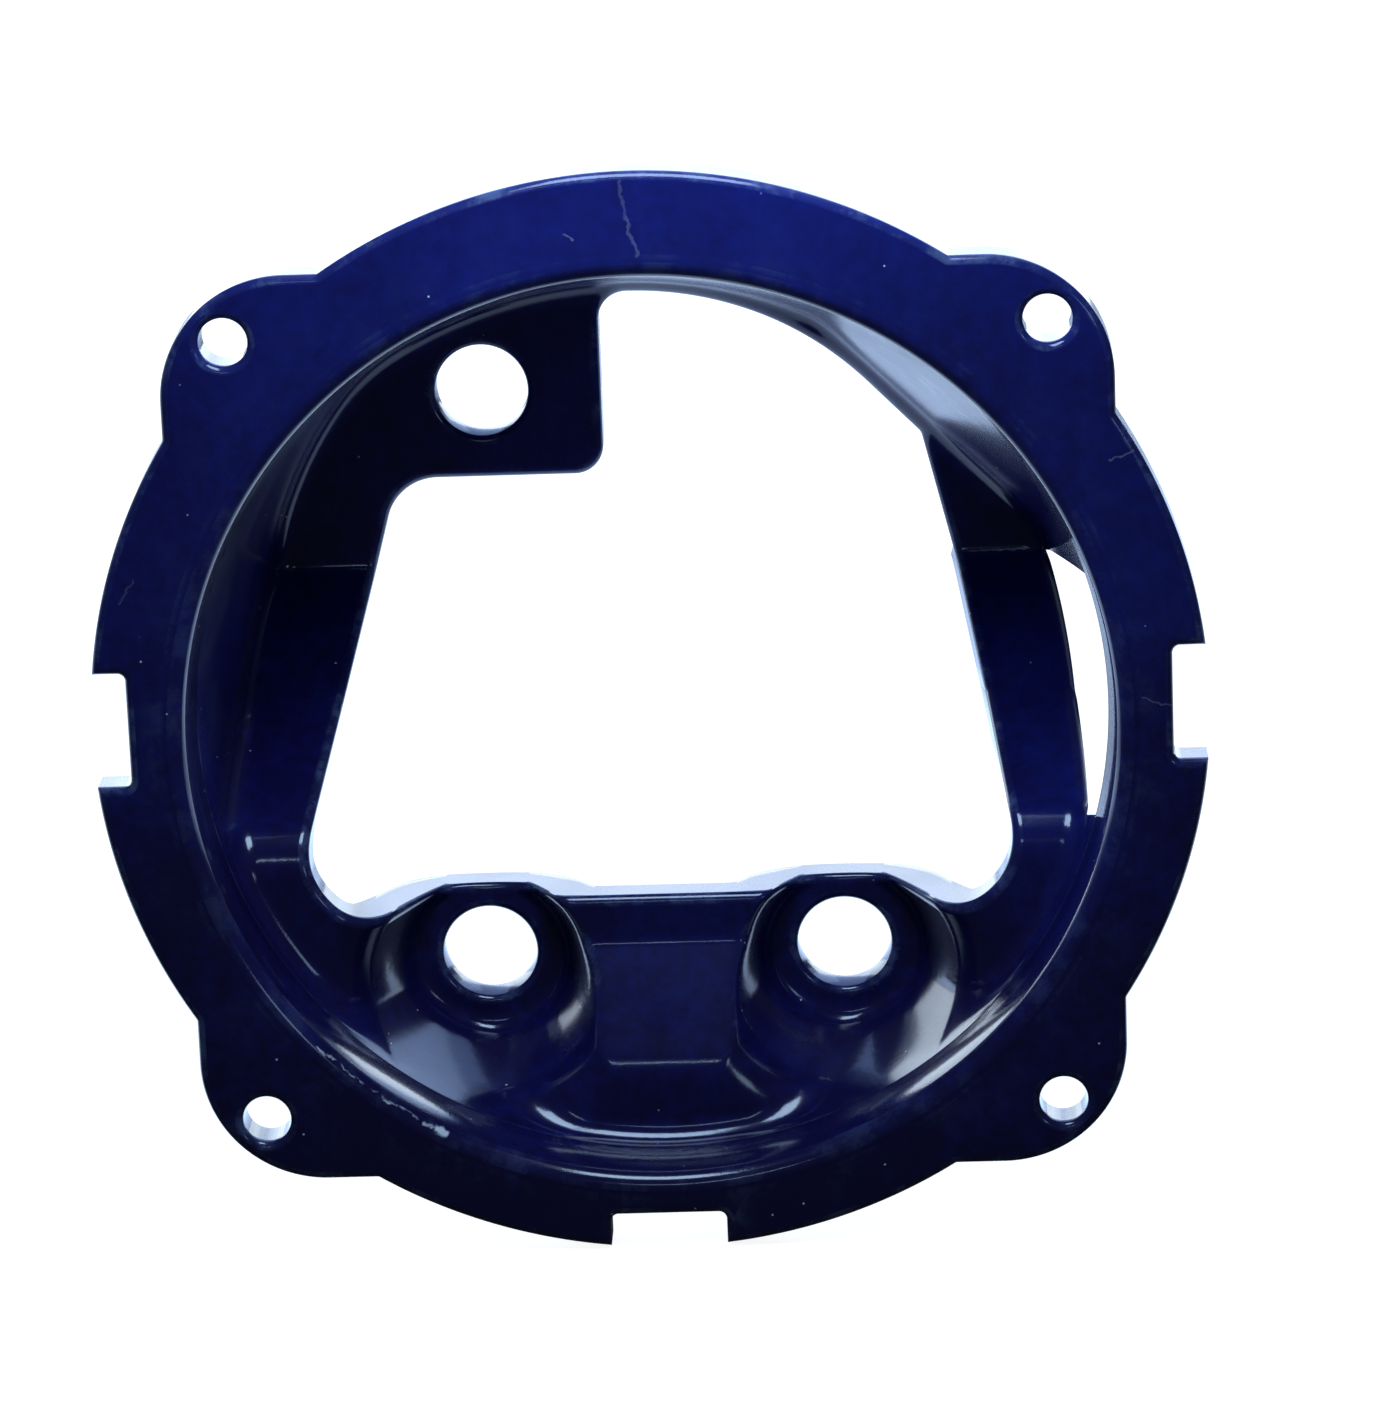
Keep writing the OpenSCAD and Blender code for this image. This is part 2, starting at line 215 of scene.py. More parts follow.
@dataclass(frozen=True)
class Enamel:
    """Gloss dark navy stoving enamel over pressed steel.

    Attributes:
        deep: linear colour where the coat is thick, and in the painted shade toward the lower left.
        bright: linear colour where it is thinner, and in the painted light toward the upper right.
        worn: linear colour of a rubbed edge.
        speck_and_glint: linear colour of dust in the coat, of its scratches, and of the painted highlight on the
            lower left of the lip.
        thickness: the slow changes of the coat's thickness.
        mottle: its fine changes.
        pigment: the roughness of the pigment under the gloss.
        rubbing: how far the exposed edges are worn.
        worn_rough: roughness that wear adds.
        specular: specular level of the pigment under the coat.
        coat_roughness: roughness of the clear gloss on top.
        coat_ior: its index of refraction.
        peel: height of the orange peel in millimetres, and its dimples per metre.
        grain: height of the streaks that the press leaves along the walls, and how many there are per metre.
        streak: how far the streaks are drawn out along the depth.
        painted_light_toward: the way in which the coat is painted lighter, as painted light up and to the right and
            painted shade down and to the left, and how much of its whole range per metre.
        dust_cells: cells per metre in which a grain of dust may sit.
        dust_edge: where a grain starts to fade and where it ends, as shares of its cell.
        dust_chance: the draws from which a cell starts to show its grain, and shows it most.
        dust_strength: how strong a grain is at most.
        wobble: how far the scratches and the painted lip highlight stray, in millimetres, and how often per metre.
        flatness: how much the depth counts in a point's distance from a scratch or from the painted lip highlight.
        scuffs_and_glints: the scratches on the ring's face and lip, and the painted highlight along the lower left
            of the lip.
    """

    deep: Triple = (0.0075, 0.0060, 0.050)
    bright: Triple = (0.0100, 0.0170, 0.165)
    worn: Triple = (0.110, 0.150, 0.260)
    speck_and_glint: Triple = (0.800, 0.840, 0.920)
    thickness: Cloud = Cloud(32.0, 4.0, 0.6, 0.30, 0.72, 0.08, 0.56)
    mottle: Cloud = Cloud(420.0, 3.0, 0.65, 0.25, 0.80, -0.18, 0.22)
    pigment: Cloud = Cloud(85.0, 3.0, 0.5, 0.35, 0.70, 0.24, 0.46)
    rubbing: Cloud = Cloud(130.0, 5.0, 0.7, 0.47, 0.66, 0.05, 0.55)
    worn_rough: float = 0.25
    specular: float = 0.03
    coat_roughness: float = 0.12
    coat_ior: float = 1.45
    peel: Point = (0.008, 900.0)
    grain: Point = (0.006, 2600.0)
    streak: float = 0.22
    painted_light_toward: Triple = (1.0, 0.0, 5.2)
    dust_cells: float = 250.0
    dust_edge: Point = (0.020, 0.055)
    dust_chance: Point = (0.50, 0.80)
    dust_strength: float = 0.9
    wobble: Point = (1.6, 700.0)
    flatness: float = 0.3
    scuffs_and_glints: tuple[ScuffAndGlint, ...] = (
        ScuffAndGlint((-1.3, 79.4), (-0.6, 74.5), 0.30, 0.06),
        ScuffAndGlint((-0.6, 74.5), (0.9, 68.9), 0.30, 0.09),
        # painted highlight: the next three strokes whiten the lower left of the lip, where light catches its curve
        ScuffAndGlint((-50.2, -46.9), (-42.0, -54.2), 0.28, 0.75),
        ScuffAndGlint((-42.0, -54.2), (-33.2, -60.2), 0.32, 0.85),
        ScuffAndGlint((-33.4, -60.2), (-32.2, -60.9), 0.70, 0.95),
        ScuffAndGlint((66.5, 37.5), (69.6, 38.6), 0.22, 0.12),
        ScuffAndGlint((70.4, 2.5), (74.6, 1.2), 0.20, 0.10),
        ScuffAndGlint((-9.0, 72.0), (-8.2, 71.2), 0.25, 0.15),
        ScuffAndGlint((-75.0, 20.5), (-72.4, 24.0), 0.18, 0.06),
    )

    def build(self) -> bpy.types.Material:
        """Makes the node material.

        Returns:
            The finished material.
        """
        material = bpy.data.materials.new(Finish.ENAMEL.value)
        desk = Desk(material)
        wear, marks = self.wear(desk), self.marks(desk)
        inputs = {
            "Base Color": self.colour(desk, wear, marks),
            "Roughness": desk.sum_of("MULTIPLY_ADD", wear, self.worn_rough, self.pigment.lay(desk), clamp=True),
            "Normal": self.relief(desk),
            "Specular IOR Level": self.specular,
            "Coat Weight": 1.0,
            "Coat Roughness": self.coat_roughness,
            "Coat IOR": self.coat_ior,
        }
        shader = desk.add("BsdfPrincipled", {**inputs, "Coat Normal": inputs["Normal"]})
        desk.add("OutputMaterial", {"Surface": shader.outputs["BSDF"]})
        return material

    def colour(self, desk: Desk, wear: Socket, marks: Socket) -> Socket:
        """Mottles the coat, paints light toward its upper right and shade toward its lower left, lightens its worn
        places, sows dust in it and whitens its scratches and the painted lip highlight.

        Args:
            desk: where the nodes go.
            wear: how worn each point is.
            marks: how strongly each point is scratched, or whitened by the painted lip highlight.

        Returns:
            The colour.
        """
        clouds = desk.sum_of("ADD", self.thickness.lay(desk), self.mottle.lay(desk))
        # painted light and shade: the colour is lighter up and to the right and darker down and to the left, over
        # the whole part
        painted_light = desk.vector("DOT_PRODUCT", desk.at, self.painted_light_toward, number=True)
        share = desk.sum_of("ADD", clouds, painted_light, clamp=True)
        worn = desk.blend(wear, desk.blend(share, self.deep, self.bright), self.worn)
        cells = desk.add("TexVoronoi", {"Vector": desk.at, "Scale": self.dust_cells})
        chance = desk.add("SeparateColor", {0: cells.outputs["Color"]}).outputs[0]
        near = desk.ease(cells.outputs["Distance"], *self.dust_edge, 1.0, 0.0)
        dust = desk.sum_of("MULTIPLY", near, desk.ease(chance, *self.dust_chance, 0.0, self.dust_strength))
        return desk.blend(desk.sum_of("MAXIMUM", dust, marks), worn, self.speck_and_glint)

    def wear(self, desk: Desk) -> Socket:
        """Says how worn each point of the rims is, between 0 and 1."""
        exposed = desk.add("Attribute", attribute_name=WEAR).outputs["Fac"]
        return desk.sum_of("MULTIPLY", exposed, self.rubbing.lay(desk))

    def marks(self, desk: Desk) -> Socket:
        """Says how strongly each point is scratched, or whitened by the painted highlight on the lower left of the
        lip.

        Args:
            desk: where the nodes go.

        Returns:
            The strength, 0 away from the marks.
        """
        reach, often = self.wobble
        stray = desk.add("TexNoise", {"Vector": desk.at, "Scale": often, "Detail": 3.0}).outputs["Color"]
        shift = desk.vector("SCALE", desk.vector("SUBTRACT", stray, (0.5, 0.5, 0.5)), reach * MM)
        ragged = desk.vector("MULTIPLY", desk.vector("ADD", desk.at, shift), (1.0, self.flatness, 1.0))
        strength = 0.0
        for stroke in self.scuffs_and_glints:
            strength = desk.sum_of("MAXIMUM", strength, stroke.lay(desk, ragged))
        return strength

    def relief(self, desk: Desk) -> Socket:
        """Raises the orange peel and the press streaks that run back along the walls.

        Args:
            desk: where the nodes go.

        Returns:
            The bumped normal.
        """
        drawn = desk.vector("MULTIPLY", desk.at, (1.0, self.streak, 1.0))
        dimples, streaks = desk.noise(desk.at, self.peel[1]), desk.noise(drawn, self.grain[1], roughness=0.6)
        peel = desk.add("Bump", {"Height": dimples, "Distance": self.peel[0] * MM}).outputs["Normal"]
        inputs = {"Height": streaks, "Distance": self.grain[0] * MM, "Normal": peel}
        return desk.add("Bump", inputs).outputs["Normal"]


@dataclass(frozen=True)
class PressSizes:
    """Sizes of the pressing in millimetres about the ring's axis, and its drafts and turns in degrees.

    Attributes:
        ring_t: thickness of the ring.
        mouth_r: radius at which the front face turns over into the lip.
        seat_step: how far outside that the ring meets the collar.
        lip_r: radius of the lip.
        cup_drop: how far the cup's axis lies below the ring's.
        wall_draft: draft of the main wall.
        sheet: thickness of the sheet.
        bend_r: inner radius of the floor's bends.
        edge_lean: how far the back of the opening's edge leans into it along the right arm.
        collar_h: depth at which the collar ends.
        ledge: depth of the ledges.
        band: depth of the web between the pads.
        pad: depth of the pads.
        head: depth of the tab and the shoulder.
        arm_foot_y: where the arms start to slope back from the ledges.
        arm_bend_y: where their slope changes.
        arm_bend: how deep it is there.
        arm_head_y: where the slope reaches the tab and the shoulder.
        pad_x: how far left and right of the axis the pads' middles lie.
        pad_drop: how far below it they lie.
        pad_r: radius of a pad's flat.
        recess_r: radius at which the flank round it starts.
        hole_r: radius of the bolt holes.
        band_flat_drop: how far below the axis the slope to the web ends.
        slope_crest_drop: how far below it that slope starts.
        tab_hole: x and y of the tab's bolt hole.
        tab_edge: x of the tab's side edge and y of its lower edge.
        head_wall: x and y of the upper wall's own axis.
        head_wall_r: its radius at the depth of the tab.
        head_wall_draft: its draft.
        head_crease: width of its blend with the main wall.
        corner_wall_r: distance of the flat corner wall from the axis at the depth of the tab.
        corner_wall_draft: its draft.
        corner_wall_dir: the way that it lies from the axis, anticlockwise from the right.
        corner_crease: width of its blend with the main wall.
        shoulder_top_y: height of the opening's top edge.
        shoulder_turn_x: where the shoulder's sloping edge meets it.
        shoulder_end_y: height at which the sloping edge meets the right edge.
        shoulder_end_r: radius of that corner.
        shoulder_r: radius of the corner at the top edge.
        foot_drop: how far below the axis the opening's foot lies.
        foot_half_w: half the width of the foot.
        left_edge_x: how far left of the axis the left edge meets the tab.
        right_edge_x: how far right of it the right edge ends.
        foot_corner_r: radius of the foot's corners.
        tab_fillet_r: radius between the tab and the left edge.
        tab_corner_r: radius of the tab's corners.
        window_foot_y: height of the side window's foot at the collar.
        window_lean: how far the window's head rises for each millimetre toward the front.
        window_foot_lean: how far its foot falls for each millimetre back.
        roll: radius of the edge that the shear rolls over round the opening.
        ear_drop: how far the middle of the ear holes lies below the ring's axis.
    """

    ring_t: float = 7.0
    mouth_r: float = 69.3
    seat_step: float = 1.0
    lip_r: float = 2.6
    cup_drop: float = 2.0
    wall_draft: float = 7.0
    sheet: float = 6.0
    bend_r: float = 3.0
    edge_lean: float = 0.95
    collar_h: float = 10.0
    ledge: float = 13.0
    band: float = 24.0
    pad: float = 32.0
    head: float = 61.0
    arm_foot_y: float = -21.0
    arm_bend_y: float = -8.0
    arm_bend: float = 40.0
    arm_head_y: float = 8.0
    pad_x: float = 26.5
    pad_drop: float = 44.3
    pad_r: float = 11.6
    recess_r: float = 18.8
    hole_r: float = 7.0
    band_flat_drop: float = 40.5
    slope_crest_drop: float = 57.0
    tab_hole: Point = (-26.0, 35.0)
    tab_edge: Point = (-8.0, 21.6)
    head_wall: Point = (-4.0, -16.4)
    head_wall_r: float = 67.31
    head_wall_draft: float = 17.0
    head_crease: float = 1.0
    corner_wall_r: float = 49.0
    corner_wall_draft: float = 18.0
    corner_wall_dir: float = 45.5
    corner_crease: float = 0.7
    shoulder_top_y: float = 49.61
    shoulder_turn_x: float = 17.5
    shoulder_end_y: float = 26.6
    shoulder_end_r: float = 2.0
    shoulder_r: float = 50.0
    foot_drop: float = 33.6
    foot_half_w: float = 54.6
    left_edge_x: float = 39.4
    right_edge_x: float = 40.0
    foot_corner_r: float = 11.0
    tab_fillet_r: float = 8.0
    tab_corner_r: float = 4.4
    window_foot_y: float = -18.5
    window_lean: float = 0.19
    window_foot_lean: float = 0.3
    roll: float = 1.5
    ear_drop: float = 0.7

    @property
    def seat_r(self) -> float:
        """Radius at which the ring meets the collar."""
        return self.mouth_r + self.seat_step

    @property
    def wall_start(self) -> Point:
        """Radius and depth at which the lip runs out into the drafted wall."""
        draft = math.radians(self.wall_draft)
        return self.mouth_r - self.lip_r * math.cos(draft), self.lip_r * (1 - math.sin(draft))

    def wall_r(self, depth: float, grown: float = 0.0) -> float:
        """Gives the radius of the main wall.

        Args:
            depth: distance behind the front face.
            grown: distance outwards through the sheet.

        Returns:
            The radius at that depth.
        """
        radius, start = self.wall_start
        draft = math.radians(self.wall_draft)
        return radius - (depth - start) * math.tan(draft) + grown / math.cos(draft)

    def opening(self) -> tuple[tuple[float, float, float], ...]:
        """Lists the corners of the big opening, anticlockwise from the left foot.

        Returns:
            x, y and the radius of each corner.
        """
        tab_x, tab_y = self.tab_edge
        return (
            (-self.foot_half_w, -self.foot_drop, self.foot_corner_r),
            (self.foot_half_w, -self.foot_drop, self.foot_corner_r),
            (self.right_edge_x, self.shoulder_end_y, self.shoulder_end_r),
            (self.shoulder_turn_x, self.shoulder_top_y, self.shoulder_r),
            (tab_x, self.shoulder_top_y, self.tab_corner_r),
            (tab_x, tab_y, self.tab_corner_r),
            (-self.left_edge_x, tab_y, self.tab_fillet_r),
        )


def arc(corner: np.ndarray, into: np.ndarray, away: np.ndarray, radius: float, steps: int) -> np.ndarray:
    """Rounds one corner of a path.

    Args:
        corner: the sharp corner.
        into: the way that leads into it, of length 1.
        away: the way that leads on from it, of length 1.
        radius: the radius of the arc.
        steps: straight steps in the arc.

    Returns:
        The points of the arc, one row each.
    """
    turn = math.acos(float(np.clip(into @ away, -1.0, 1.0)))
    side = 1.0 if into[0] * away[1] - into[1] * away[0] > 0 else -1.0
    start = corner - into * radius * math.tan(turn / 2)
    angle = turn * np.arange(steps + 1)[:, None] / steps
    square = side * np.array([-into[1], into[0]])
    return start + radius * (np.sin(angle) * into + (1 - np.cos(angle)) * square)


def rounded_outline(corners: Iterable[tuple[float, float, float]], steps: int = 40) -> np.ndarray:
    """Rounds the corners of a closed outline.

    Args:
        corners: x, y and the radius of each corner, anticlockwise.
        steps: straight steps in each arc.

    Returns:
        The points of the closed outline, one row each.
    """
    table = np.array(corners, float)
    sharp = table[:, :2]
    into = sharp - np.roll(sharp, 1, 0)
    into /= np.linalg.norm(into, axis=1)[:, None]
    arcs = [arc(*row, steps) for row in zip(sharp, into, np.roll(into, -1, 0), table[:, 2])]
    return np.concatenate(arcs)


def even_points(outline: np.ndarray, count: int, bend_weight: float) -> np.ndarray:
    """Walks a closed outline in even steps that shorten in its bends.

    Args:
        outline: the points of the closed outline.
        count: how many points to give back.
        bend_weight: length that one radian of turn counts for.

    Returns:
        The evenly spread points.
    """
    length = np.linalg.norm(np.roll(outline, -1, 0) - outline, axis=1)
    loop = outline[length > CLOSE]
    loop = np.vstack([loop, loop[:1]])
    leg = np.diff(loop, axis=0)
    heading = np.arctan2(leg[:, 1], leg[:, 0])
    turn = np.abs((np.diff(np.append(heading, heading[0])) + np.pi) % (2 * np.pi) - np.pi)
    turn = 0.5 * (turn + np.roll(turn, 1))
    walk = np.concatenate([[0.0], np.cumsum(np.linalg.norm(leg, axis=1) + bend_weight * turn)])
    at = np.arange(count) * walk[-1] / count
    return np.stack([np.interp(at, walk, loop[:, 0]), np.interp(at, walk, loop[:, 1])], 1)


def rolled_edge(roll: float, step: int = 12) -> list[Point]:
    """Walks down the edge that a shear or a punch rolls over.

    Args:
        roll: the radius of the roll.
        step: degrees between its points.

    Returns:
        The inset into the metal and the depth of each point.
    """
    end, flat = 72, 0.9
    turns = [math.radians(angle) for angle in range(step, end + 1, step)]
    return [(roll * (1 - math.sin(a) / math.sin(turns[-1])), flat * roll * (1 - math.cos(a))) for a in turns]


def halve(free: Callable[[np.ndarray], np.ndarray], low: np.ndarray, high: np.ndarray, rounds: int) -> tuple:
    """Finds how far values may go, by halving the room between what is free and what is not.

    Args:
        free: says which values are free.
        low: values that are free.
        high: values that are not.
        rounds: how many times the room is halved.

    Returns:
        The highest values found free, and the lowest found not free.
    """
    for _ in range(rounds):
        middle = 0.5 * (low + high)
        is_free = free(middle)
        low, high = np.where(is_free, middle, low), np.where(is_free, high, middle)
    return low, high


class FloorPath:
    """One line of the stepped floor with its bends rounded, read as a depth."""

    ARC_STEPS = 48

    def __init__(self, corners: list[Point], sizes: PressSizes, grown: float) -> None:
        """Rounds the path.

        Args:
            corners: distance and depth of each corner, from left to right.
            sizes: the pressing's sizes.
            grown: distance down through the sheet.
        """
        line = np.array([(along, -depth) for along, depth in corners], float)
        ways = np.diff(line, axis=0)
        ways /= np.linalg.norm(ways, axis=1)[:, None]
        rights = np.stack([ways[:, 1], -ways[:, 0]], 1)
        before, after = np.vstack([rights[:1], rights]), np.vstack([rights, rights[-1:]])
        moved = line + grown * (before + after) / (1 + np.sum(before * after, 1))[:, None]
        points = [moved[:1]]
        for corner, into, away in zip(moved[1:-1], ways[:-1], ways[1:]):
            hollow = into[0] * away[1] - into[1] * away[0] > 0
            radius = sizes.bend_r + (grown if hollow else sizes.sheet - grown)
            points.append(arc(corner, into, away, radius, self.ARC_STEPS))
        self.line = np.vstack([*points, moved[-1:]])

    def depth(self, along: np.ndarray) -> np.ndarray:
        """Reads the depth at distances along the path."""
        return -np.interp(along, self.line[:, 0], self.line[:, 1])


class PressedSkin:
    """One face of the sheet: the hollow between the walls and above the stepped floor, with its coves."""

    FAR = 300.0  # where the floor's paths end
    BLEND = 10  # power by which the floor's forms are blended
    PROBE = 0.03  # half the distance over which the floor's slope is measured
    DEEPEST = 80.0
    HALVINGS = 34  # how many times the room for a depth is halved
    STRIDE = 0.45  # how far a line runs in one stride
    STRIDES = 700  # how many it may take
    STEP = 0.02  # half the distance over which the gap's slope is measured
    PULL = 0.2  # how far a point is pulled back to the skin at most

    def __init__(self, sizes: PressSizes, grown: float) -> None:
        """Prepares the floor's paths.

        Args:
            sizes: the pressing's sizes.
            grown: 0 for the front face, the sheet's thickness for the back.
        """
        s, self.sizes, self.grown = sizes, sizes, grown
        arm = [(s.arm_foot_y, s.ledge), (s.arm_bend_y, s.arm_bend), (s.arm_head_y, s.head)]
        band = [(-s.slope_crest_drop, s.ledge), (-s.band_flat_drop, s.band)]
        pad = [(-s.recess_r, s.ledge), (-s.pad_r, s.pad)]
        self.arm, self.band, self.pad = (
            FloorPath([(-self.FAR, s.ledge), *path, (self.FAR, path[-1][1])], s, grown) for path in (arm, band, pad)
        )

    def floor_depth(self, x: np.ndarray, y: np.ndarray) -> np.ndarray:
        """Reads the depth of the floor, walls left out.

        Args:
            x: places across.
            y: places up.

        Returns:
            The depth at each place.
        """
        s = self.sizes
        level = s.ledge + self.grown
        band = np.where(np.abs(x) < s.pad_x, self.band.depth(y), level)
        pads = [self.pad.depth(-np.hypot(x - side * s.pad_x, y + s.pad_drop)) for side in (-1.0, 1.0)]
        total = sum(np.maximum(form - level, 0.0) ** self.BLEND for form in (self.arm.depth(y), band, *pads))
        return level + total ** (1 / self.BLEND)

    def floor_gap(self, x: np.ndarray, y: np.ndarray, depth: np.ndarray) -> np.ndarray:
        """Measures how far points stand in front of the floor, square to it.

        Args:
            x: places across.
            y: places up.
            depth: distances behind the front face.

        Returns:
            The gap at each point.
        """
        e = self.PROBE
        slope_x = (self.floor_depth(x + e, y) - self.floor_depth(x - e, y)) / (2 * e)
        slope_y = (self.floor_depth(x, y + e) - self.floor_depth(x, y - e)) / (2 * e)
        return (self.floor_depth(x, y) - depth) / np.sqrt(1 + slope_x**2 + slope_y**2)

    def wall_gap(self, x: np.ndarray, y: np.ndarray, depth: np.ndarray) -> np.ndarray:
        """Measures how far points stand inside the three walls, square to them.

        Args:
            x: places across.
            y: places up.
            depth: distances behind the front face.

        Returns:
            The gap to the nearest wall.
        """
        s = self.sizes
        main, head, corner, turn = np.radians(
            (s.wall_draft, s.head_wall_draft, s.corner_wall_draft, s.corner_wall_dir)
        ).tolist()
        radius, start = s.wall_start
        gap = (radius - (depth - start) * math.tan(main) - np.hypot(x, y + s.cup_drop)) * math.cos(main)
        reach = s.head_wall_r + (s.head - depth) * math.tan(head)
        head_gap = (reach - np.hypot(x - s.head_wall[0], y - s.head_wall[1])) * math.cos(head)
        reach = s.corner_wall_r + (s.head - depth) * math.tan(corner)
        corner_gap = (reach - x * math.cos(turn) - y * math.sin(turn)) * math.cos(corner)
        for other, soft in ((head_gap, s.head_crease), (corner_gap, s.corner_crease)):
            near = np.maximum(soft - np.abs(gap - other), 0.0) / soft
            gap = np.minimum(gap, other) - near * near * soft * 0.25
        return gap + self.grown

    def gap(self, x: np.ndarray, y: np.ndarray, depth: np.ndarray) -> np.ndarray:
        """Measures how far points stand in front of the skin, its coves included.

        Args:
            x: places across.
            y: places up.
            depth: distances behind the front face.

        Returns:
            The gap at each point, negative inside the metal.
        """
        cove = self.sizes.bend_r + 0.5 * self.grown
        wall, floor = self.wall_gap(x, y, depth), self.floor_gap(x, y, depth)
        round_off = np.hypot(np.maximum(cove - wall, 0.0), np.maximum(cove - floor, 0.0))
        return np.maximum(cove, np.minimum(wall, floor)) - round_off

    def settle(self, plan: np.ndarray) -> np.ndarray:
        """Finds the depth of the skin.

        Args:
            plan: rows of x and y.

        Returns:
            The depth under each of them.
        """
        low, high = (np.full(len(plan), level) for level in (self.sizes.collar_h, self.DEEPEST))
        low, high = halve(lambda depth: self.gap(*plan.T, depth) > 0, low, high, self.HALVINGS)
        return 0.5 * (low + high)

    def run_down(self, start: np.ndarray, end: np.ndarray, rows: int, bend_weight: float = 3.0) -> np.ndarray:
        """Follows the skin from the collar down the wall, through the cove and along the floor.

        Args:
            start: the points in plan at the collar.
            end: the points in plan at which each line stops.
            rows: how many points each line gets.
            bend_weight: length that one radian of bend counts for when they are spread.

        Returns:
            The points as rows of lines of x, y and depth.
        """
        way = end - start
        length = np.linalg.norm(way, axis=1)
        way /= length[:, None]

        def gap_at(t: np.ndarray, d: np.ndarray) -> np.ndarray:
            """Measures the gap on each line."""
            return self.gap(start[:, 0] + way[:, 0] * t, start[:, 1] + way[:, 1] * t, d)

        def slope(t: np.ndarray, d: np.ndarray) -> tuple[np.ndarray, np.ndarray, np.ndarray]:
            """Measures the gap's slope on each line.

            Args:
                t: how far along each line.
                d: how deep.

            Returns:
                The slope along and down each line, and its whole size.
            """
            e = self.STEP
            in_t = (gap_at(t + e, d) - gap_at(t - e, d)) / (2 * e)
            in_d = (gap_at(t, d + e) - gap_at(t, d - e)) / (2 * e)
            return in_t, in_d, np.hypot(in_t, in_d) + TINY

        along, depth = np.zeros(len(start)), np.full(len(start), self.sizes.collar_h)
        trail = [(along, depth)]
        for _ in range(self.STRIDES):
            going = along < length
            if not going.any():
                break
            in_t, in_d, size = slope(along, depth)
            t, d = along - in_d / size * self.STRIDE, depth + in_t / size * self.STRIDE
            in_t, in_d, size = slope(t, d)
            for _ in range(2):
                off = np.clip(gap_at(t, d) / size, -self.PULL, self.PULL)
                t, d = t - off * in_t / size, d - off * in_d / size
            along, depth = np.where(going, t, along), np.where(going, d, depth)
            trail.append((along, depth))
        lines = np.empty((rows, len(start), 3))
        all_t, all_d = (np.array([leg[k] for leg in trail]) for k in (0, 1))
        for k in range(len(start)):
            stop = int(np.argmax(all_t[:, k] >= length[k])) or len(all_t) - 1
            t, d = all_t[: stop + 1, k].copy(), all_d[: stop + 1, k].copy()
            share = (length[k] - t[-2]) / max(t[-1] - t[-2], TINY)
            t[-1], d[-1] = length[k], d[-2] + share * (d[-1] - d[-2])
            heading = np.unwrap(np.arctan2(np.diff(d), np.diff(t)))
            turn = np.abs(np.diff(heading, append=heading[-1]))
            legs = np.hypot(np.diff(t), np.diff(d)) + bend_weight * turn + CLOSE
            walk = np.concatenate([[0.0], np.cumsum(legs)])
            at = np.linspace(0.0, walk[-1], rows)
            lines[:, k, :2] = start[k] + way[k] * np.interp(at, walk, t)[:, None]
            lines[:, k, 2] = np.interp(at, walk, d)
        return lines


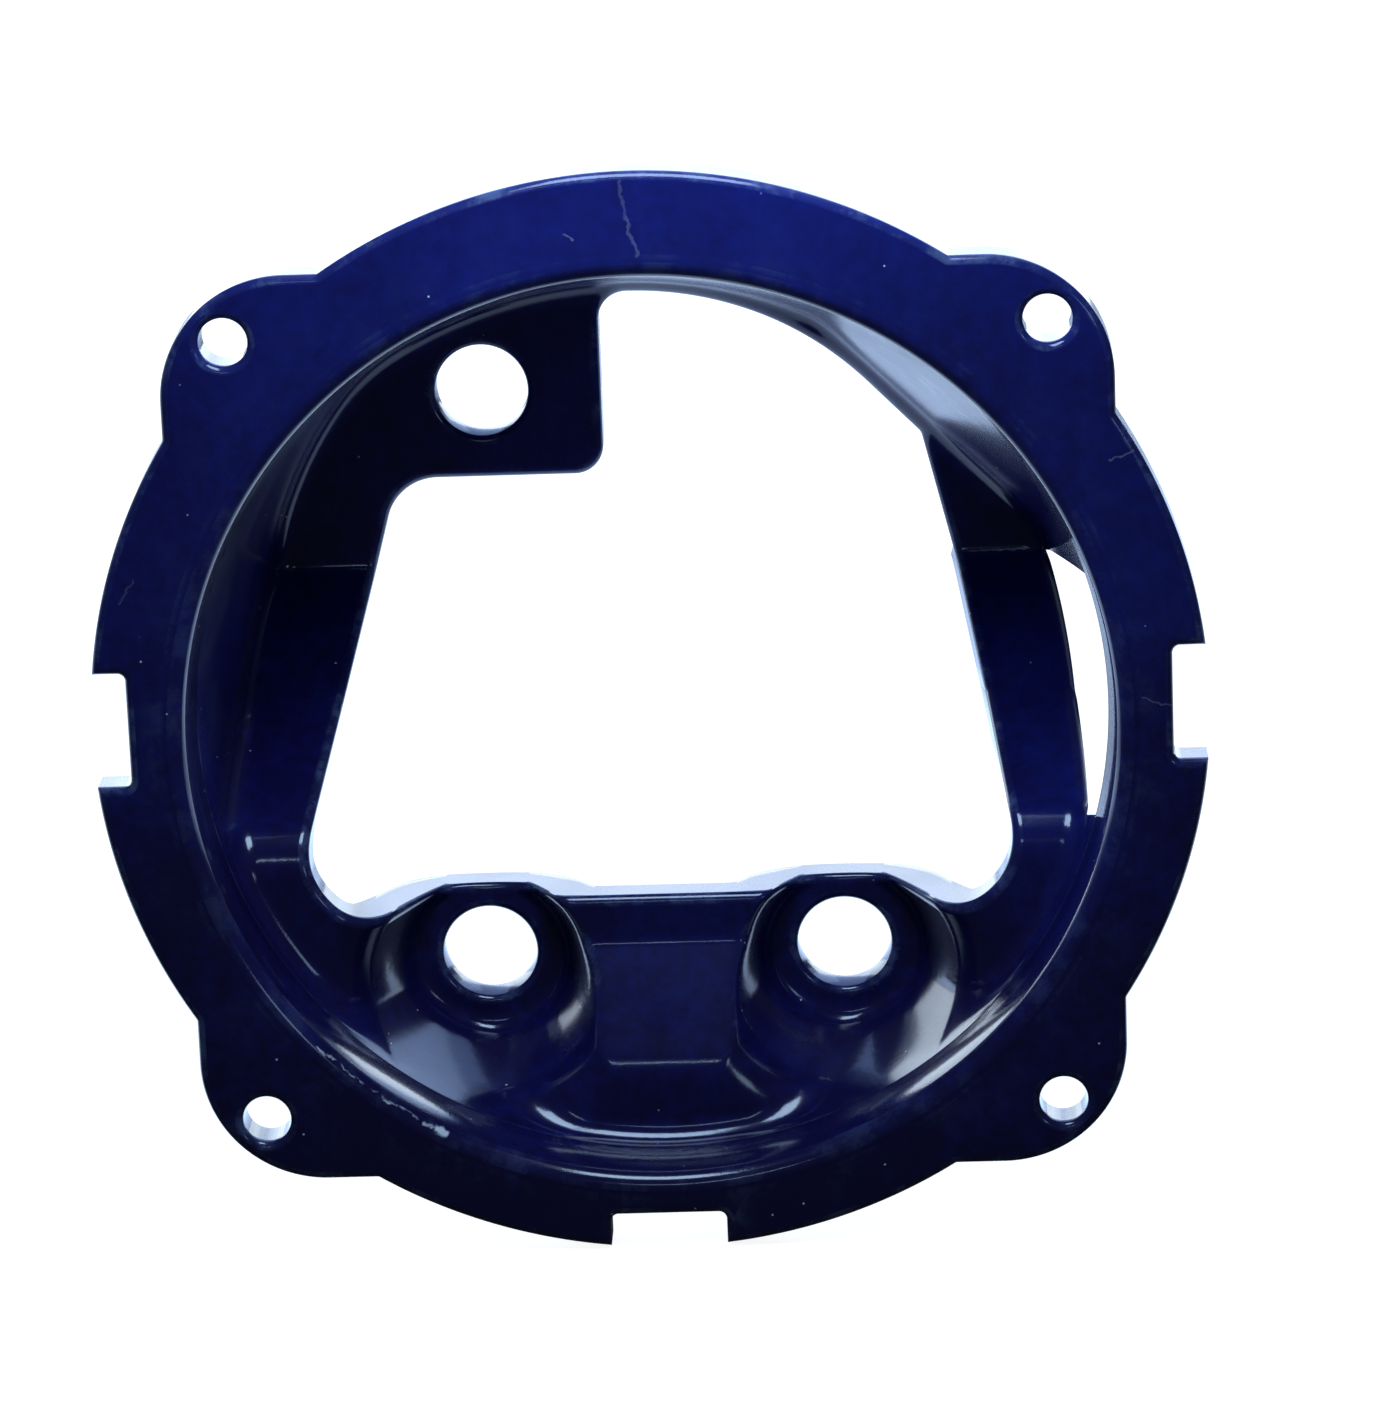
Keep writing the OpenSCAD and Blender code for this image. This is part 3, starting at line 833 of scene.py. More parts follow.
@dataclass(frozen=True)
class PressedCup:
    """The whole cup below the collar as one closed mesh of even quads, before it is punched and parted.

    Attributes:
        sizes: the pressing's sizes.
        columns: lines round the cup.
        front_rows: points down each line of the front.
        back_rows: points down each line of the back.
        rim_bend: length that one radian of turn counts for along the opening's edge.
        evened: lines on each side over which the lines' directions are evened out.
        narrowness: how many times the whole round is as wide as that evening's weight.
        steepest: the squareness of the skin below which the rolled edge goes no deeper.
        cut_shares: how far down the cut face its rows lie.
        back_start: how far behind the cut face the back's lines end.
    """

    sizes: PressSizes
    columns: int
    front_rows: int
    back_rows: int
    rim_bend: float = 2.5
    evened: int = 90
    narrowness: int = 40
    steepest: float = 0.35
    cut_shares: tuple[float, ...] = (0.06, 0.25, 0.5, 0.75, 0.93)
    back_start: float = 0.4

    def rays(self, rim: np.ndarray) -> np.ndarray:
        """Spreads the lines' directions from the axis, evened out along the opening's edge.

        Args:
            rim: x and y of the opening's edge.

        Returns:
            The direction of each line.
        """
        turn = np.unwrap(np.arctan2(rim[:, 1] + self.sizes.cup_drop, rim[:, 0]))
        even = np.arange(self.columns) * 2 * np.pi / self.columns
        spread = np.arange(-self.evened, self.evened + 1)
        weight = np.exp(-0.5 * (spread / (self.columns / self.narrowness)) ** 2)
        turn = even + sum(w * np.roll(turn - even, k) for w, k in zip(weight / weight.sum(), spread))
        return np.stack([np.cos(turn), np.sin(turn)], 1)

    def lines(self) -> np.ndarray:
        """Lays out every line from the collar over the front, round the sheared edge and back up behind.

        Returns:
            Rows of closed rings of x, y and depth.
        """
        s = self.sizes
        rim = even_points(rounded_outline(s.opening()), self.columns, self.rim_bend)
        way = np.roll(rim, -1, 0) - np.roll(rim, 1, 0)
        way /= np.linalg.norm(way, axis=1)[:, None]
        outward = np.stack([way[:, 1], -way[:, 0]], 1)
        rays, middle = self.rays(rim), np.array([0.0, -s.cup_drop])
        front, back = PressedSkin(s, 0.0), PressedSkin(s, s.sheet)
        rings = [front.run_down(middle + s.wall_r(s.collar_h) * rays, rim + s.roll * outward, self.front_rows)]
        for inset, drop in rolled_edge(s.roll):
            plan = rim + inset * outward
            depth = front.settle(plan)
            drops = drop / np.maximum(self.squareness(front, plan, depth), self.steepest)
            rings.append(np.column_stack([plan, depth + drops])[None])
        edge = rings[-1][0, :, 2]
        leaning = self.leaning(rim, outward)[:, None] * outward
        foot = rim - leaning
        behind = back.settle(foot)
        for share in self.cut_shares:
            rings.append(np.column_stack([rim - share * leaning, edge + share * (behind - edge)])[None])
        top = middle + s.wall_r(s.collar_h, s.sheet) * rays
        rings.append(back.run_down(top, foot + self.back_start * outward, self.back_rows)[::-1])
        return np.concatenate(rings)

    def leaning(self, rim: np.ndarray, outward: np.ndarray) -> np.ndarray:
        """Says how far the back of the cut leans into the opening, where it runs down the right arm.

        Args:
            rim: x and y of the opening's edge.
            outward: the way into the sheet at each of its points.

        Returns:
            The lean of each point, in millimetres.
        """
        s = self.sizes
        facing_from, facing_over, head_fade, foot_fade = 0.6, 0.3, 1.5, 6.0
        right = np.clip((outward[:, 0] - facing_from) / facing_over, 0.0, 1.0) * (rim[:, 0] > 0)
        below_head = np.clip((s.arm_head_y - rim[:, 1]) / head_fade, 0.0, 1.0)
        above_foot = np.clip((rim[:, 1] - s.arm_foot_y) / foot_fade, 0.0, 1.0)
        return s.edge_lean * right * below_head * above_foot

    @staticmethod
    def squareness(skin: PressedSkin, plan: np.ndarray, depth: np.ndarray) -> np.ndarray:
        """Measures how square the skin faces the front, 1 for a level floor and 0 for a wall.

        Args:
            skin: the skin.
            plan: x and y of points on it.
            depth: their depths.

        Returns:
            The measure at each point.
        """
        points, step = np.column_stack([plan, depth]), 0.05
        slopes = [skin.gap(*(points + e).T) - skin.gap(*(points - e).T) for e in step * np.eye(3)]
        return np.abs(slopes[2]) / (np.sqrt(sum(slope**2 for slope in slopes)) + TINY)

    def build(self, name: str) -> Piece:
        """Makes the closed mesh.

        Args:
            name: name of the object.

        Returns:
            The object.
        """
        rings = self.lines()
        points, quads = rings.reshape(-1, 3), tube_quads(*rings.shape[:2], closed=True)
        a, b, c, d = (place(points, self.sizes)[quads[:, k]] for k in range(4))
        if np.sum(a * np.cross(b, c)) + np.sum(a * np.cross(c, d)) < 0:
            quads = quads[:, ::-1]
        return mesh_object(name, points, [], quads, self.sizes)


def place(points: np.ndarray, sizes: PressSizes) -> np.ndarray:
    """Turns rows of x, y and depth in millimetres into metres in the part's frame."""
    return np.column_stack([points[:, 0], points[:, 2], points[:, 1] + sizes.ear_drop]) * MM


def tube_quads(rows: int, around: int, closed: bool = False) -> np.ndarray:
    """Joins rings of points by quads.

    Args:
        rows: how many rings there are.
        around: points in each ring.
        closed: whether the last ring joins the first.

    Returns:
        Four point numbers in each row.
    """
    row, here = np.meshgrid(np.arange(rows if closed else rows - 1), np.arange(around), indexing="ij")
    next_row, after = (row + 1) % rows * around, (here + 1) % around
    row = row * around
    return np.stack([row + here, row + after, next_row + after, next_row + here], -1).reshape(-1, 4)


def add_object(name: str, data: bpy.types.ID) -> Piece:
    """Puts something into the scene as an object at the origin.

    Args:
        name: name of the object.
        data: the mesh, the lamp or the camera.

    Returns:
        The object.
    """
    piece = bpy.data.objects.new(name, data)
    bpy.context.scene.collection.objects.link(piece)
    return piece


def mesh_object(name: str, points: np.ndarray, edges: list, faces: Iterable, sizes: PressSizes) -> Piece:
    """Makes a mesh object and makes it active.

    Args:
        name: name of the object.
        points: rows of x, y and depth in millimetres.
        edges: two point numbers for each loose edge.
        faces: the point numbers of each face.
        sizes: the pressing's sizes.

    Returns:
        The object.
    """
    mesh = bpy.data.meshes.new(name)
    mesh.from_pydata(place(points, sizes), edges, faces)
    piece = add_object(name, mesh)
    activate(piece)
    return piece


def activate(piece: Piece) -> None:
    """Selects one object alone and makes it active, in object mode.

    Args:
        piece: the object.
    """
    if bpy.context.mode != "OBJECT":
        bpy.ops.object.mode_set(mode="OBJECT")
    bpy.ops.object.select_all(action="DESELECT")
    piece.select_set(True)
    bpy.context.view_layer.objects.active = piece


def face_outwards() -> None:
    """Turns the faces of the active object outwards."""
    bpy.ops.object.mode_set(mode="EDIT")
    bpy.ops.mesh.select_all(action="SELECT")
    bpy.ops.mesh.normals_make_consistent(inside=False)
    bpy.ops.object.mode_set(mode="OBJECT")


def closed_tube(name: str, rings: np.ndarray, sizes: PressSizes) -> Piece:
    """Makes a solid from rings of points, closed by a face on the first and one on the last.

    Args:
        name: name of the object.
        rings: rows of rings of x, y and depth.
        sizes: the pressing's sizes.

    Returns:
        The solid.
    """
    rows, around = rings.shape[:2]
    caps = [range(around), range(rows * around - 1, (rows - 1) * around - 1, -1)]
    sides = tube_quads(rows, around)[:, [0, 3, 2, 1]]
    tool = mesh_object(name, rings.reshape(-1, 3), [], [*map(tuple, caps), *sides.tolist()], sizes)
    face_outwards()
    return tool


def spun(name: str, section: list[Point], centre: Point, steps: int, closed: bool, sizes: PressSizes) -> Piece:
    """Spins a section about an axis that runs straight back.

    Args:
        name: name of the object.
        section: distance from the axis and depth of each point.
        centre: x and y of the axis.
        steps: steps round the axis.
        closed: whether the section's last point joins its first.
        sizes: the pressing's sizes.

    Returns:
        The spun object.
    """
    flat = np.array([(centre[0] + out, centre[1], depth) for out, depth in section])
    count = len(section)
    edges = [(k, (k + 1) % count) for k in range(count if closed else count - 1)]
    piece = mesh_object(name, flat, edges, [], sizes)
    bpy.ops.object.mode_set(mode="EDIT")
    bpy.ops.mesh.select_all(action="SELECT")
    bpy.ops.mesh.spin(
        steps=steps,
        angle=2 * math.pi,
        use_auto_merge=True,
        center=(centre[0] * MM, 0.0, (centre[1] + sizes.ear_drop) * MM),
        axis=(0.0, 1.0, 0.0),
    )
    bpy.ops.mesh.select_all(action="SELECT")
    bpy.ops.mesh.remove_doubles(threshold=CLOSE)
    face_outwards()
    return piece


def combine(piece: Piece, tool: Piece, operation: str) -> None:
    """Works on a piece with a tool, and removes the tool.

    Args:
        piece: the piece.
        tool: the tool.
        operation: DIFFERENCE to cut the tool away, INTERSECT to keep what both share.
    """
    activate(piece)
    modifier = piece.modifiers.new("cut", "BOOLEAN")
    modifier.object, modifier.operation, modifier.solver = tool, operation, "MANIFOLD"
    bpy.ops.object.modifier_apply(modifier=modifier.name)
    bpy.data.objects.remove(tool, do_unlink=True)


def shade(piece: Piece, sharp_degrees: float) -> None:
    """Shades a piece smooth between the edges that are sharper than an angle."""
    activate(piece)
    bpy.ops.object.shade_smooth_by_angle(angle=math.radians(sharp_degrees))


def mark_wear(
    piece: Piece, gentle: float = 0.22, full: float = 0.75, fine: float = 0.15, flat: float = 0.02
) -> None:
    """Stores how exposed each corner of a mesh is, from how tightly it bends outward.

    Args:
        piece: the object.
        gentle: the bend, in radians per millimetre, below which nothing wears.
        full: the bend above which the wear is full.
        fine: the shortest length, in millimetres, over which a bend is measured.
        flat: the angle between two faces, in radians, up to which their edge counts as flat.
    """
    mesh = bmesh.new()
    mesh.from_mesh(piece.data)
    wear = np.zeros(len(mesh.verts))
    for edge in mesh.edges:
        if len(edge.link_faces) != 2:
            continue
        angle = edge.calc_face_angle_signed(0.0)
        if angle <= flat:
            continue
        across = sum(face.calc_area() for face in edge.link_faces) / 2 / max(edge.calc_length(), TINY)
        bend = angle / max(across / MM, fine)
        level = min(1.0, max(0.0, (bend - gentle) / (full - gentle)))
        for vert in edge.verts:
            wear[vert.index] = max(wear[vert.index], level)
    mesh.free()
    layer = piece.data.color_attributes.new(WEAR, "FLOAT_COLOR", "POINT")
    layer.data.foreach_set("color", np.repeat(wear, 4))


def circle_points(radius: float, centre: Point, count: int) -> np.ndarray:
    """Gives the points of a circle, anticlockwise."""
    turns = [2 * math.pi * k / count for k in range(count)]
    return np.array([(centre[0] + radius * math.cos(a), centre[1] + radius * math.sin(a)) for a in turns])


@dataclass(frozen=True)
class FlangeRing:
    """The flat eared plate with its four ear holes and three rim notches.

    Attributes:
        sizes: the pressing's sizes.
        ring_r: outer radius.
        ear_square: side of the rounded square whose corners are the ears.
        ear_corner_r: radius of the ears.
        ear_spacing: distance between the ear holes.
        ear_hole_r: radius of the ear holes.
        notch_w: width of a notch.
        notch_web: metal left between the collar's seat and a notch.
        notch_r: radius in a notch's corners.
        notch_steps: steps round each of them.
        side_notch_rise: height of the side notches above the axis.
        roll: radius of the edge that the shears rolled over.
        burr: size of the small bevel at the back.
        edge_rows: depths of the rows down the rim's side.
        rim_steps: points round the rim before it is thinned.
        seat_steps: points round the collar's seat.
        hole_steps: points round each ear hole.
        sharp: turn in radians above which a corner of the rim stays sharp.
        roll_room: how many times the roll's radius must lie between a sharp corner and the next point.
        spacing: distance under which points of the rim are thinned where it is nearly straight.
        straight: turn in radians up to which it counts as nearly straight.
    """

    sizes: PressSizes
    ring_r: float = 80.0
    ear_square: float = 134.6
    ear_corner_r: float = 18.0
    ear_spacing: float = 116.0
    ear_hole_r: float = 3.5
    notch_w: float = 17.0
    notch_web: float = 4.4
    notch_r: float = 1.2
    notch_steps: int = 8
    side_notch_rise: float = 0.8
    roll: float = 1.2
    burr: float = 0.35
    edge_rows: Point = (1.6, 4.0)
    rim_steps: int = 2880
    seat_steps: int = 480
    hole_steps: int = 96
    sharp: float = 0.6
    roll_room: float = 1.3
    spacing: float = 0.25
    straight: float = 0.15

    def reach(self, across: float, up: float) -> float:
        """Measures how far the rim lies from the axis one way, notches left out.

        Args:
            across: the way's share across.
            up: its share up.

        Returns:
            The distance.
        """
        side, drop = self.ear_square / 2, self.sizes.ear_drop
        half = side - self.ear_corner_r
        reaches = [self.ring_r]
        for x in (-half, half):
            for y in (-half - drop, half - drop):
                along, off = x * across + y * up, abs(x * up - y * across)
                if along > 0 and off < self.ear_corner_r:
                    reaches.append(along + math.sqrt(self.ear_corner_r**2 - off**2))
        if abs(across) > CLOSE and abs(side / abs(across) * up + drop) <= half:
            reaches.append(side / abs(across))
        if abs(up) > CLOSE and abs((side - math.copysign(drop, up)) / abs(up) * across) <= half:
            reaches.append((side - math.copysign(drop, up)) / abs(up))
        return max(reaches)

    def outline(self) -> list[Point]:
        """Walks the rim with its ears and notches.

        Returns:
            The points of the rim, anticlockwise.
        """
        half_w, rise = self.notch_w / 2, self.side_notch_rise
        rim: list[Point] = []
        for k in range(self.rim_steps):
            angle = 2 * math.pi * k / self.rim_steps
            across, up = math.cos(angle), math.sin(angle)
            reach = self.reach(across, up)
            x, y = reach * across, reach * up
            if abs(y - rise) >= half_w and (y > 0 or abs(x) >= half_w):
                rim.append((x, y))
        whole: list[Point] = []
        for point, after in zip(rim, [*rim[1:], rim[0]]):
            whole.append(point)
            if math.dist(point, after) < half_w:
                continue
            if abs(point[0]) > abs(point[1]):
                side = 1.0 if point[0] > 0 else -1.0
                whole += [(side * out, rise + side * along) for out, along in self.notch(side * rise)]
            else:
                whole += [(along, -out) for out, along in self.notch(0.0)]
        return whole

    def notch(self, shift: float) -> list[Point]:
        """Walks one notch, anticlockwise.

        Args:
            shift: how far its middle lies from the axis, along the rim.

        Returns:
            How far out and how far along the rim from its middle each point lies.
        """
        half_w, r, floor_r = self.notch_w / 2, self.notch_r, self.sizes.seat_r + self.notch_web
        turns = [math.pi / 2 * step / self.notch_steps for step in range(self.notch_steps + 1)]
        corner = [(floor_r + r - r * math.sin(a), half_w - r + r * math.cos(a)) for a in turns]
        mouths = [(math.sqrt(self.ring_r**2 - (shift + along) ** 2), along) for along in (-half_w, half_w)]
        return [mouths[0], *((out, -along) for out, along in corner), *corner[::-1], mouths[1]]

    def rows(self, line: np.ndarray, section: list[Point]) -> np.ndarray:
        """Carries a section of the plate's edge round one loop.

        Args:
            line: x and y of each point, with the metal on the left.
            section: inset into the metal and depth of each row.

        Returns:
            Rows of lines of x, y and depth.
        """
        into = line - np.roll(line, 1, 0)
        into /= np.linalg.norm(into, axis=1)[:, None]
        left = np.stack([-into[:, 1], into[:, 0]], 1)
        after = np.roll(left, -1, 0)
        inward = (left + after) / (1 + np.sum(left * after, 1))[:, None]
        return np.stack([np.column_stack([line + inset * inward, np.full(len(line), d)]) for inset, d in section])

    def build(self) -> Piece:
        """Carries the rolled edge round the rim and the holes, then fills both faces between them.

        Returns:
            The ring.
        """
        s, half = self.sizes, self.ear_spacing / 2
        edge = [(self.roll, 0.0), *rolled_edge(self.roll)]
        edge += [*((0.0, depth) for depth in (*self.edge_rows, s.ring_t - self.burr)), (self.burr, s.ring_t)]
        seat = circle_points(s.seat_r, (0.0, -s.cup_drop), self.seat_steps)[::-1]
        loops = [self.rows(self.thinned(self.outline()), edge), self.rows(seat, [(0.0, 0.0), (0.0, s.ring_t)])]
        for x in (-half, half):
            for y in (-half, half):
                hole = circle_points(self.ear_hole_r, (x, y - s.ear_drop), self.hole_steps)[::-1]
                loops.append(self.rows(hole, edge))
        starts = np.cumsum([0, *(loop.shape[0] * loop.shape[1] for loop in loops)])
        points = np.concatenate([loop.reshape(-1, 3) for loop in loops])
        quads = np.concatenate([start + tube_quads(*loop.shape[:2]) for start, loop in zip(starts, loops)])
        ring = mesh_object("rolled_flange_ring", points, [], quads, s)
        bpy.ops.object.mode_set(mode="EDIT")
        for depth in (0.0, s.ring_t):
            self.fill_face(ring, depth)
        face_outwards()
        shade(ring, RING_CREASE)
        self.keep_faces_flat(ring)
        return ring

    @staticmethod
    def fill_face(ring: Piece, depth: float) -> None:
        """Fills the open loops at one depth with one flat face that has the holes in it.

        Args:
            ring: the ring, in edit mode.
            depth: depth of the face in millimetres.
        """
        bpy.ops.mesh.select_mode(type="EDGE")
        bpy.ops.mesh.select_all(action="DESELECT")
        for edge in bmesh.from_edit_mesh(ring.data).edges:
            edge.select = edge.is_boundary and all(abs(v.co.y - depth * MM) < CLOSE for v in edge.verts)
        bmesh.update_edit_mesh(ring.data)
        bpy.ops.mesh.fill(use_beauty=True)

    @staticmethod
    def keep_faces_flat(ring: Piece) -> None:
        """Marks the borders of the two flat faces sharp, so that the roll's shading doesn't run into them.

        Args:
            ring: the ring.
        """
        level = 1e-5  # how far the normal of a flat face may be off
        sides: dict[tuple[int, int], list[bool]] = {}
        for face in ring.data.polygons:
            for key in face.edge_keys:
                sides.setdefault(key, []).append(abs(abs(face.normal.y) - 1) < level)
        for edge in ring.data.edges:
            if len(set(sides[edge.key])) == 2:
                edge.use_edge_sharp = True

    def thinned(self, points: list[Point]) -> np.ndarray:
        """Drops rim points that the roll has no room for, close together or beside a sharp outer corner.

        Args:
            points: the rim, anticlockwise.

        Returns:
            The points that stay.
        """
        line = np.array(points)
        into, away = line - np.roll(line, 1, 0), np.roll(line, -1, 0) - line
        turn = np.arctan2(into[:, 0] * away[:, 1] - into[:, 1] * away[:, 0], np.sum(into * away, 1))
        sharp = line[turn > self.sharp]
        kept: list[Point] = []
        for point, bend in zip(points, turn):
            beside = np.linalg.norm(sharp - np.array(point), axis=1).min() < self.roll_room * self.roll
            close = bool(kept) and math.dist(point, kept[-1]) < self.spacing and abs(bend) < self.straight
            if bend > self.sharp or not (beside or close):
                kept.append(point)
        return np.array(kept)


@dataclass(frozen=True)
class ThroatCollar:
    """The collar that turns from the ring's face over the rolled lip into the wall.

    Attributes:
        sizes: the pressing's sizes.
        turns: steps round the axis.
        lip_steps: steps over the lip.
        land: height of the fine line that the draft's start leaves.
        land_from: how far above the collar's foot that line starts.
        land_to: how far above the foot it ends.
    """

    sizes: PressSizes
    turns: int = 480
    lip_steps: int = 20
    land: float = 0.12
    land_from: float = 0.35
    land_to: float = 0.1

    def build(self) -> Piece:
        """Spins the collar's section round the axis.

        Returns:
            The collar.
        """
        s, foot = self.sizes, self.sizes.collar_h
        steps = range(self.lip_steps + 1)
        turns = [math.radians(90 + (90.0 - s.wall_draft) * k / self.lip_steps) for k in steps]
        section = [(s.seat_r, 0.0)]
        section += [(s.mouth_r + s.lip_r * math.cos(a), s.lip_r * (1 - math.sin(a))) for a in turns]
        start, end = foot - self.land_from, foot - self.land_to
        section += [(s.wall_r(start), start), (s.wall_r(end) + self.land, end), (s.wall_r(foot), foot)]
        section += [(s.wall_r(depth, s.sheet), depth) for depth in (foot, s.ring_t)]
        section.append((s.seat_r, s.ring_t))
        collar = spun("rolled_throat_collar", section, (0.0, -s.cup_drop), self.turns, True, s)
        shade(collar, RING_CREASE)
        return collar


@dataclass(frozen=True)
class Punches:
    """The tools that pierce the cup: three bolt hole punches and the side window's.

    Attributes:
        sizes: the pressing's sizes.
        roll: radius of the edge that a punch rolls over.
        shoulder: how much wider than that edge the punch is before the sheet.
        burr: how much wider the hole's mouth is at the back.
        burr_rise: how far before the back face the hole starts to widen.
        burr_end: how far behind it the punch has its whole width.
        steps: steps round a punch.
        clear: how far a punch reaches past the sheet on each side.
        wall_clear: how far inside the wall the window's tool starts.
        outside_x: where it ends, outside the wall.
        window_deep: how deep it reaches.
        window_grid: points down and up each of its two sides.
        search: the places across between which the wall is looked for.
        halvings: how many times the room between them is halved.
    """

    sizes: PressSizes
    roll: float = 1.2
    shoulder: float = 0.02
    burr: float = 0.5
    burr_rise: float = 0.4
    burr_end: float = 0.1
    steps: int = 120
    clear: float = 3.0
    wall_clear: float = 0.35
    outside_x: float = 95.0
    window_deep: float = 75.0
    window_grid: tuple[int, int] = (90, 60)
    search: Point = (20.0, 90.0)
    halvings: int = 30

    def bolt_punch(self, centre: Point, face: float) -> Piece:
        """Spins a punch whose shoulder leaves the rolled front edge.

        Args:
            centre: x and y of the hole.
            face: depth of the floor round it.

        Returns:
            The punch.
        """
        r, back = self.sizes.hole_r, face + self.sizes.sheet
        wide, front, end = r + self.burr, face - self.clear, back + self.clear
        section = [(0.0, front), (r + self.roll + self.shoulder, front)]
        section += [(r + inset, face + drop) for inset, drop in rolled_edge(self.roll, step=8)]
        section += [(r, back - self.burr_rise), (wide, back + self.burr_end), (wide, end), (0.0, end)]
        return spun("bolt_punch", section, centre, self.steps, False, self.sizes)

    def window_tool(self) -> Piece:
        """Shapes the tool that takes the wall away between the window's leaning head and foot.

        Returns:
            The tool.
        """
        s, (down, across) = self.sizes, self.window_grid
        skin = PressedSkin(s, 0.0)
        depths, shares = np.linspace(s.collar_h - 1.0, self.window_deep, down), np.linspace(0.0, 1.0, across)
        depth, share = np.meshgrid(depths, shares, indexing="ij")
        foot = s.window_foot_y - s.window_foot_lean * (depth - s.collar_h)
        head = s.arm_head_y + s.window_lean * (s.head - depth)
        y = foot + (head - foot) * share
        start, end = (np.full_like(y, x) for x in self.search)
        inner = halve(lambda x: skin.wall_gap(x, y, depth) > self.wall_clear, start, end, self.halvings)[0]
        near, far = (np.stack([x, y, depth], -1) for x in (inner, np.full_like(y, self.outside_x)))
        return closed_tube("window_tool", np.concatenate([near, far[:, ::-1]], 1), s)

    def pierce(self, cup: Piece) -> None:
        """Punches the holes and the window.

        Args:
            cup: the whole cup.
        """
        s = self.sizes
        left, right = ((x, -s.pad_drop) for x in (-s.pad_x, s.pad_x))
        for centre, face in ((left, s.pad), (right, s.pad), (s.tab_hole, s.head)):
            combine(cup, self.bolt_punch(centre, face), "DIFFERENCE")
        combine(cup, self.window_tool(), "DIFFERENCE")


class Zone(StrEnum):
    """The formed zones below the collar, by the name of the node that each one dresses."""

    UPPER_LEFT_WALL = auto()
    UPPER_RIGHT_WALL = auto()
    LEFT_WALL = auto()
    RIGHT_WALL = auto()
    LOWER_WALL = auto()
    MOUNTING_TAB = auto()
    RIGHT_SHOULDER = auto()
    LEFT_ARM = auto()
    RIGHT_ARM = auto()
    LEFT_LEDGE = auto()
    RIGHT_LEDGE = auto()
    LEFT_PAD = auto()
    RIGHT_PAD = auto()
    CENTRE_WEB = auto()


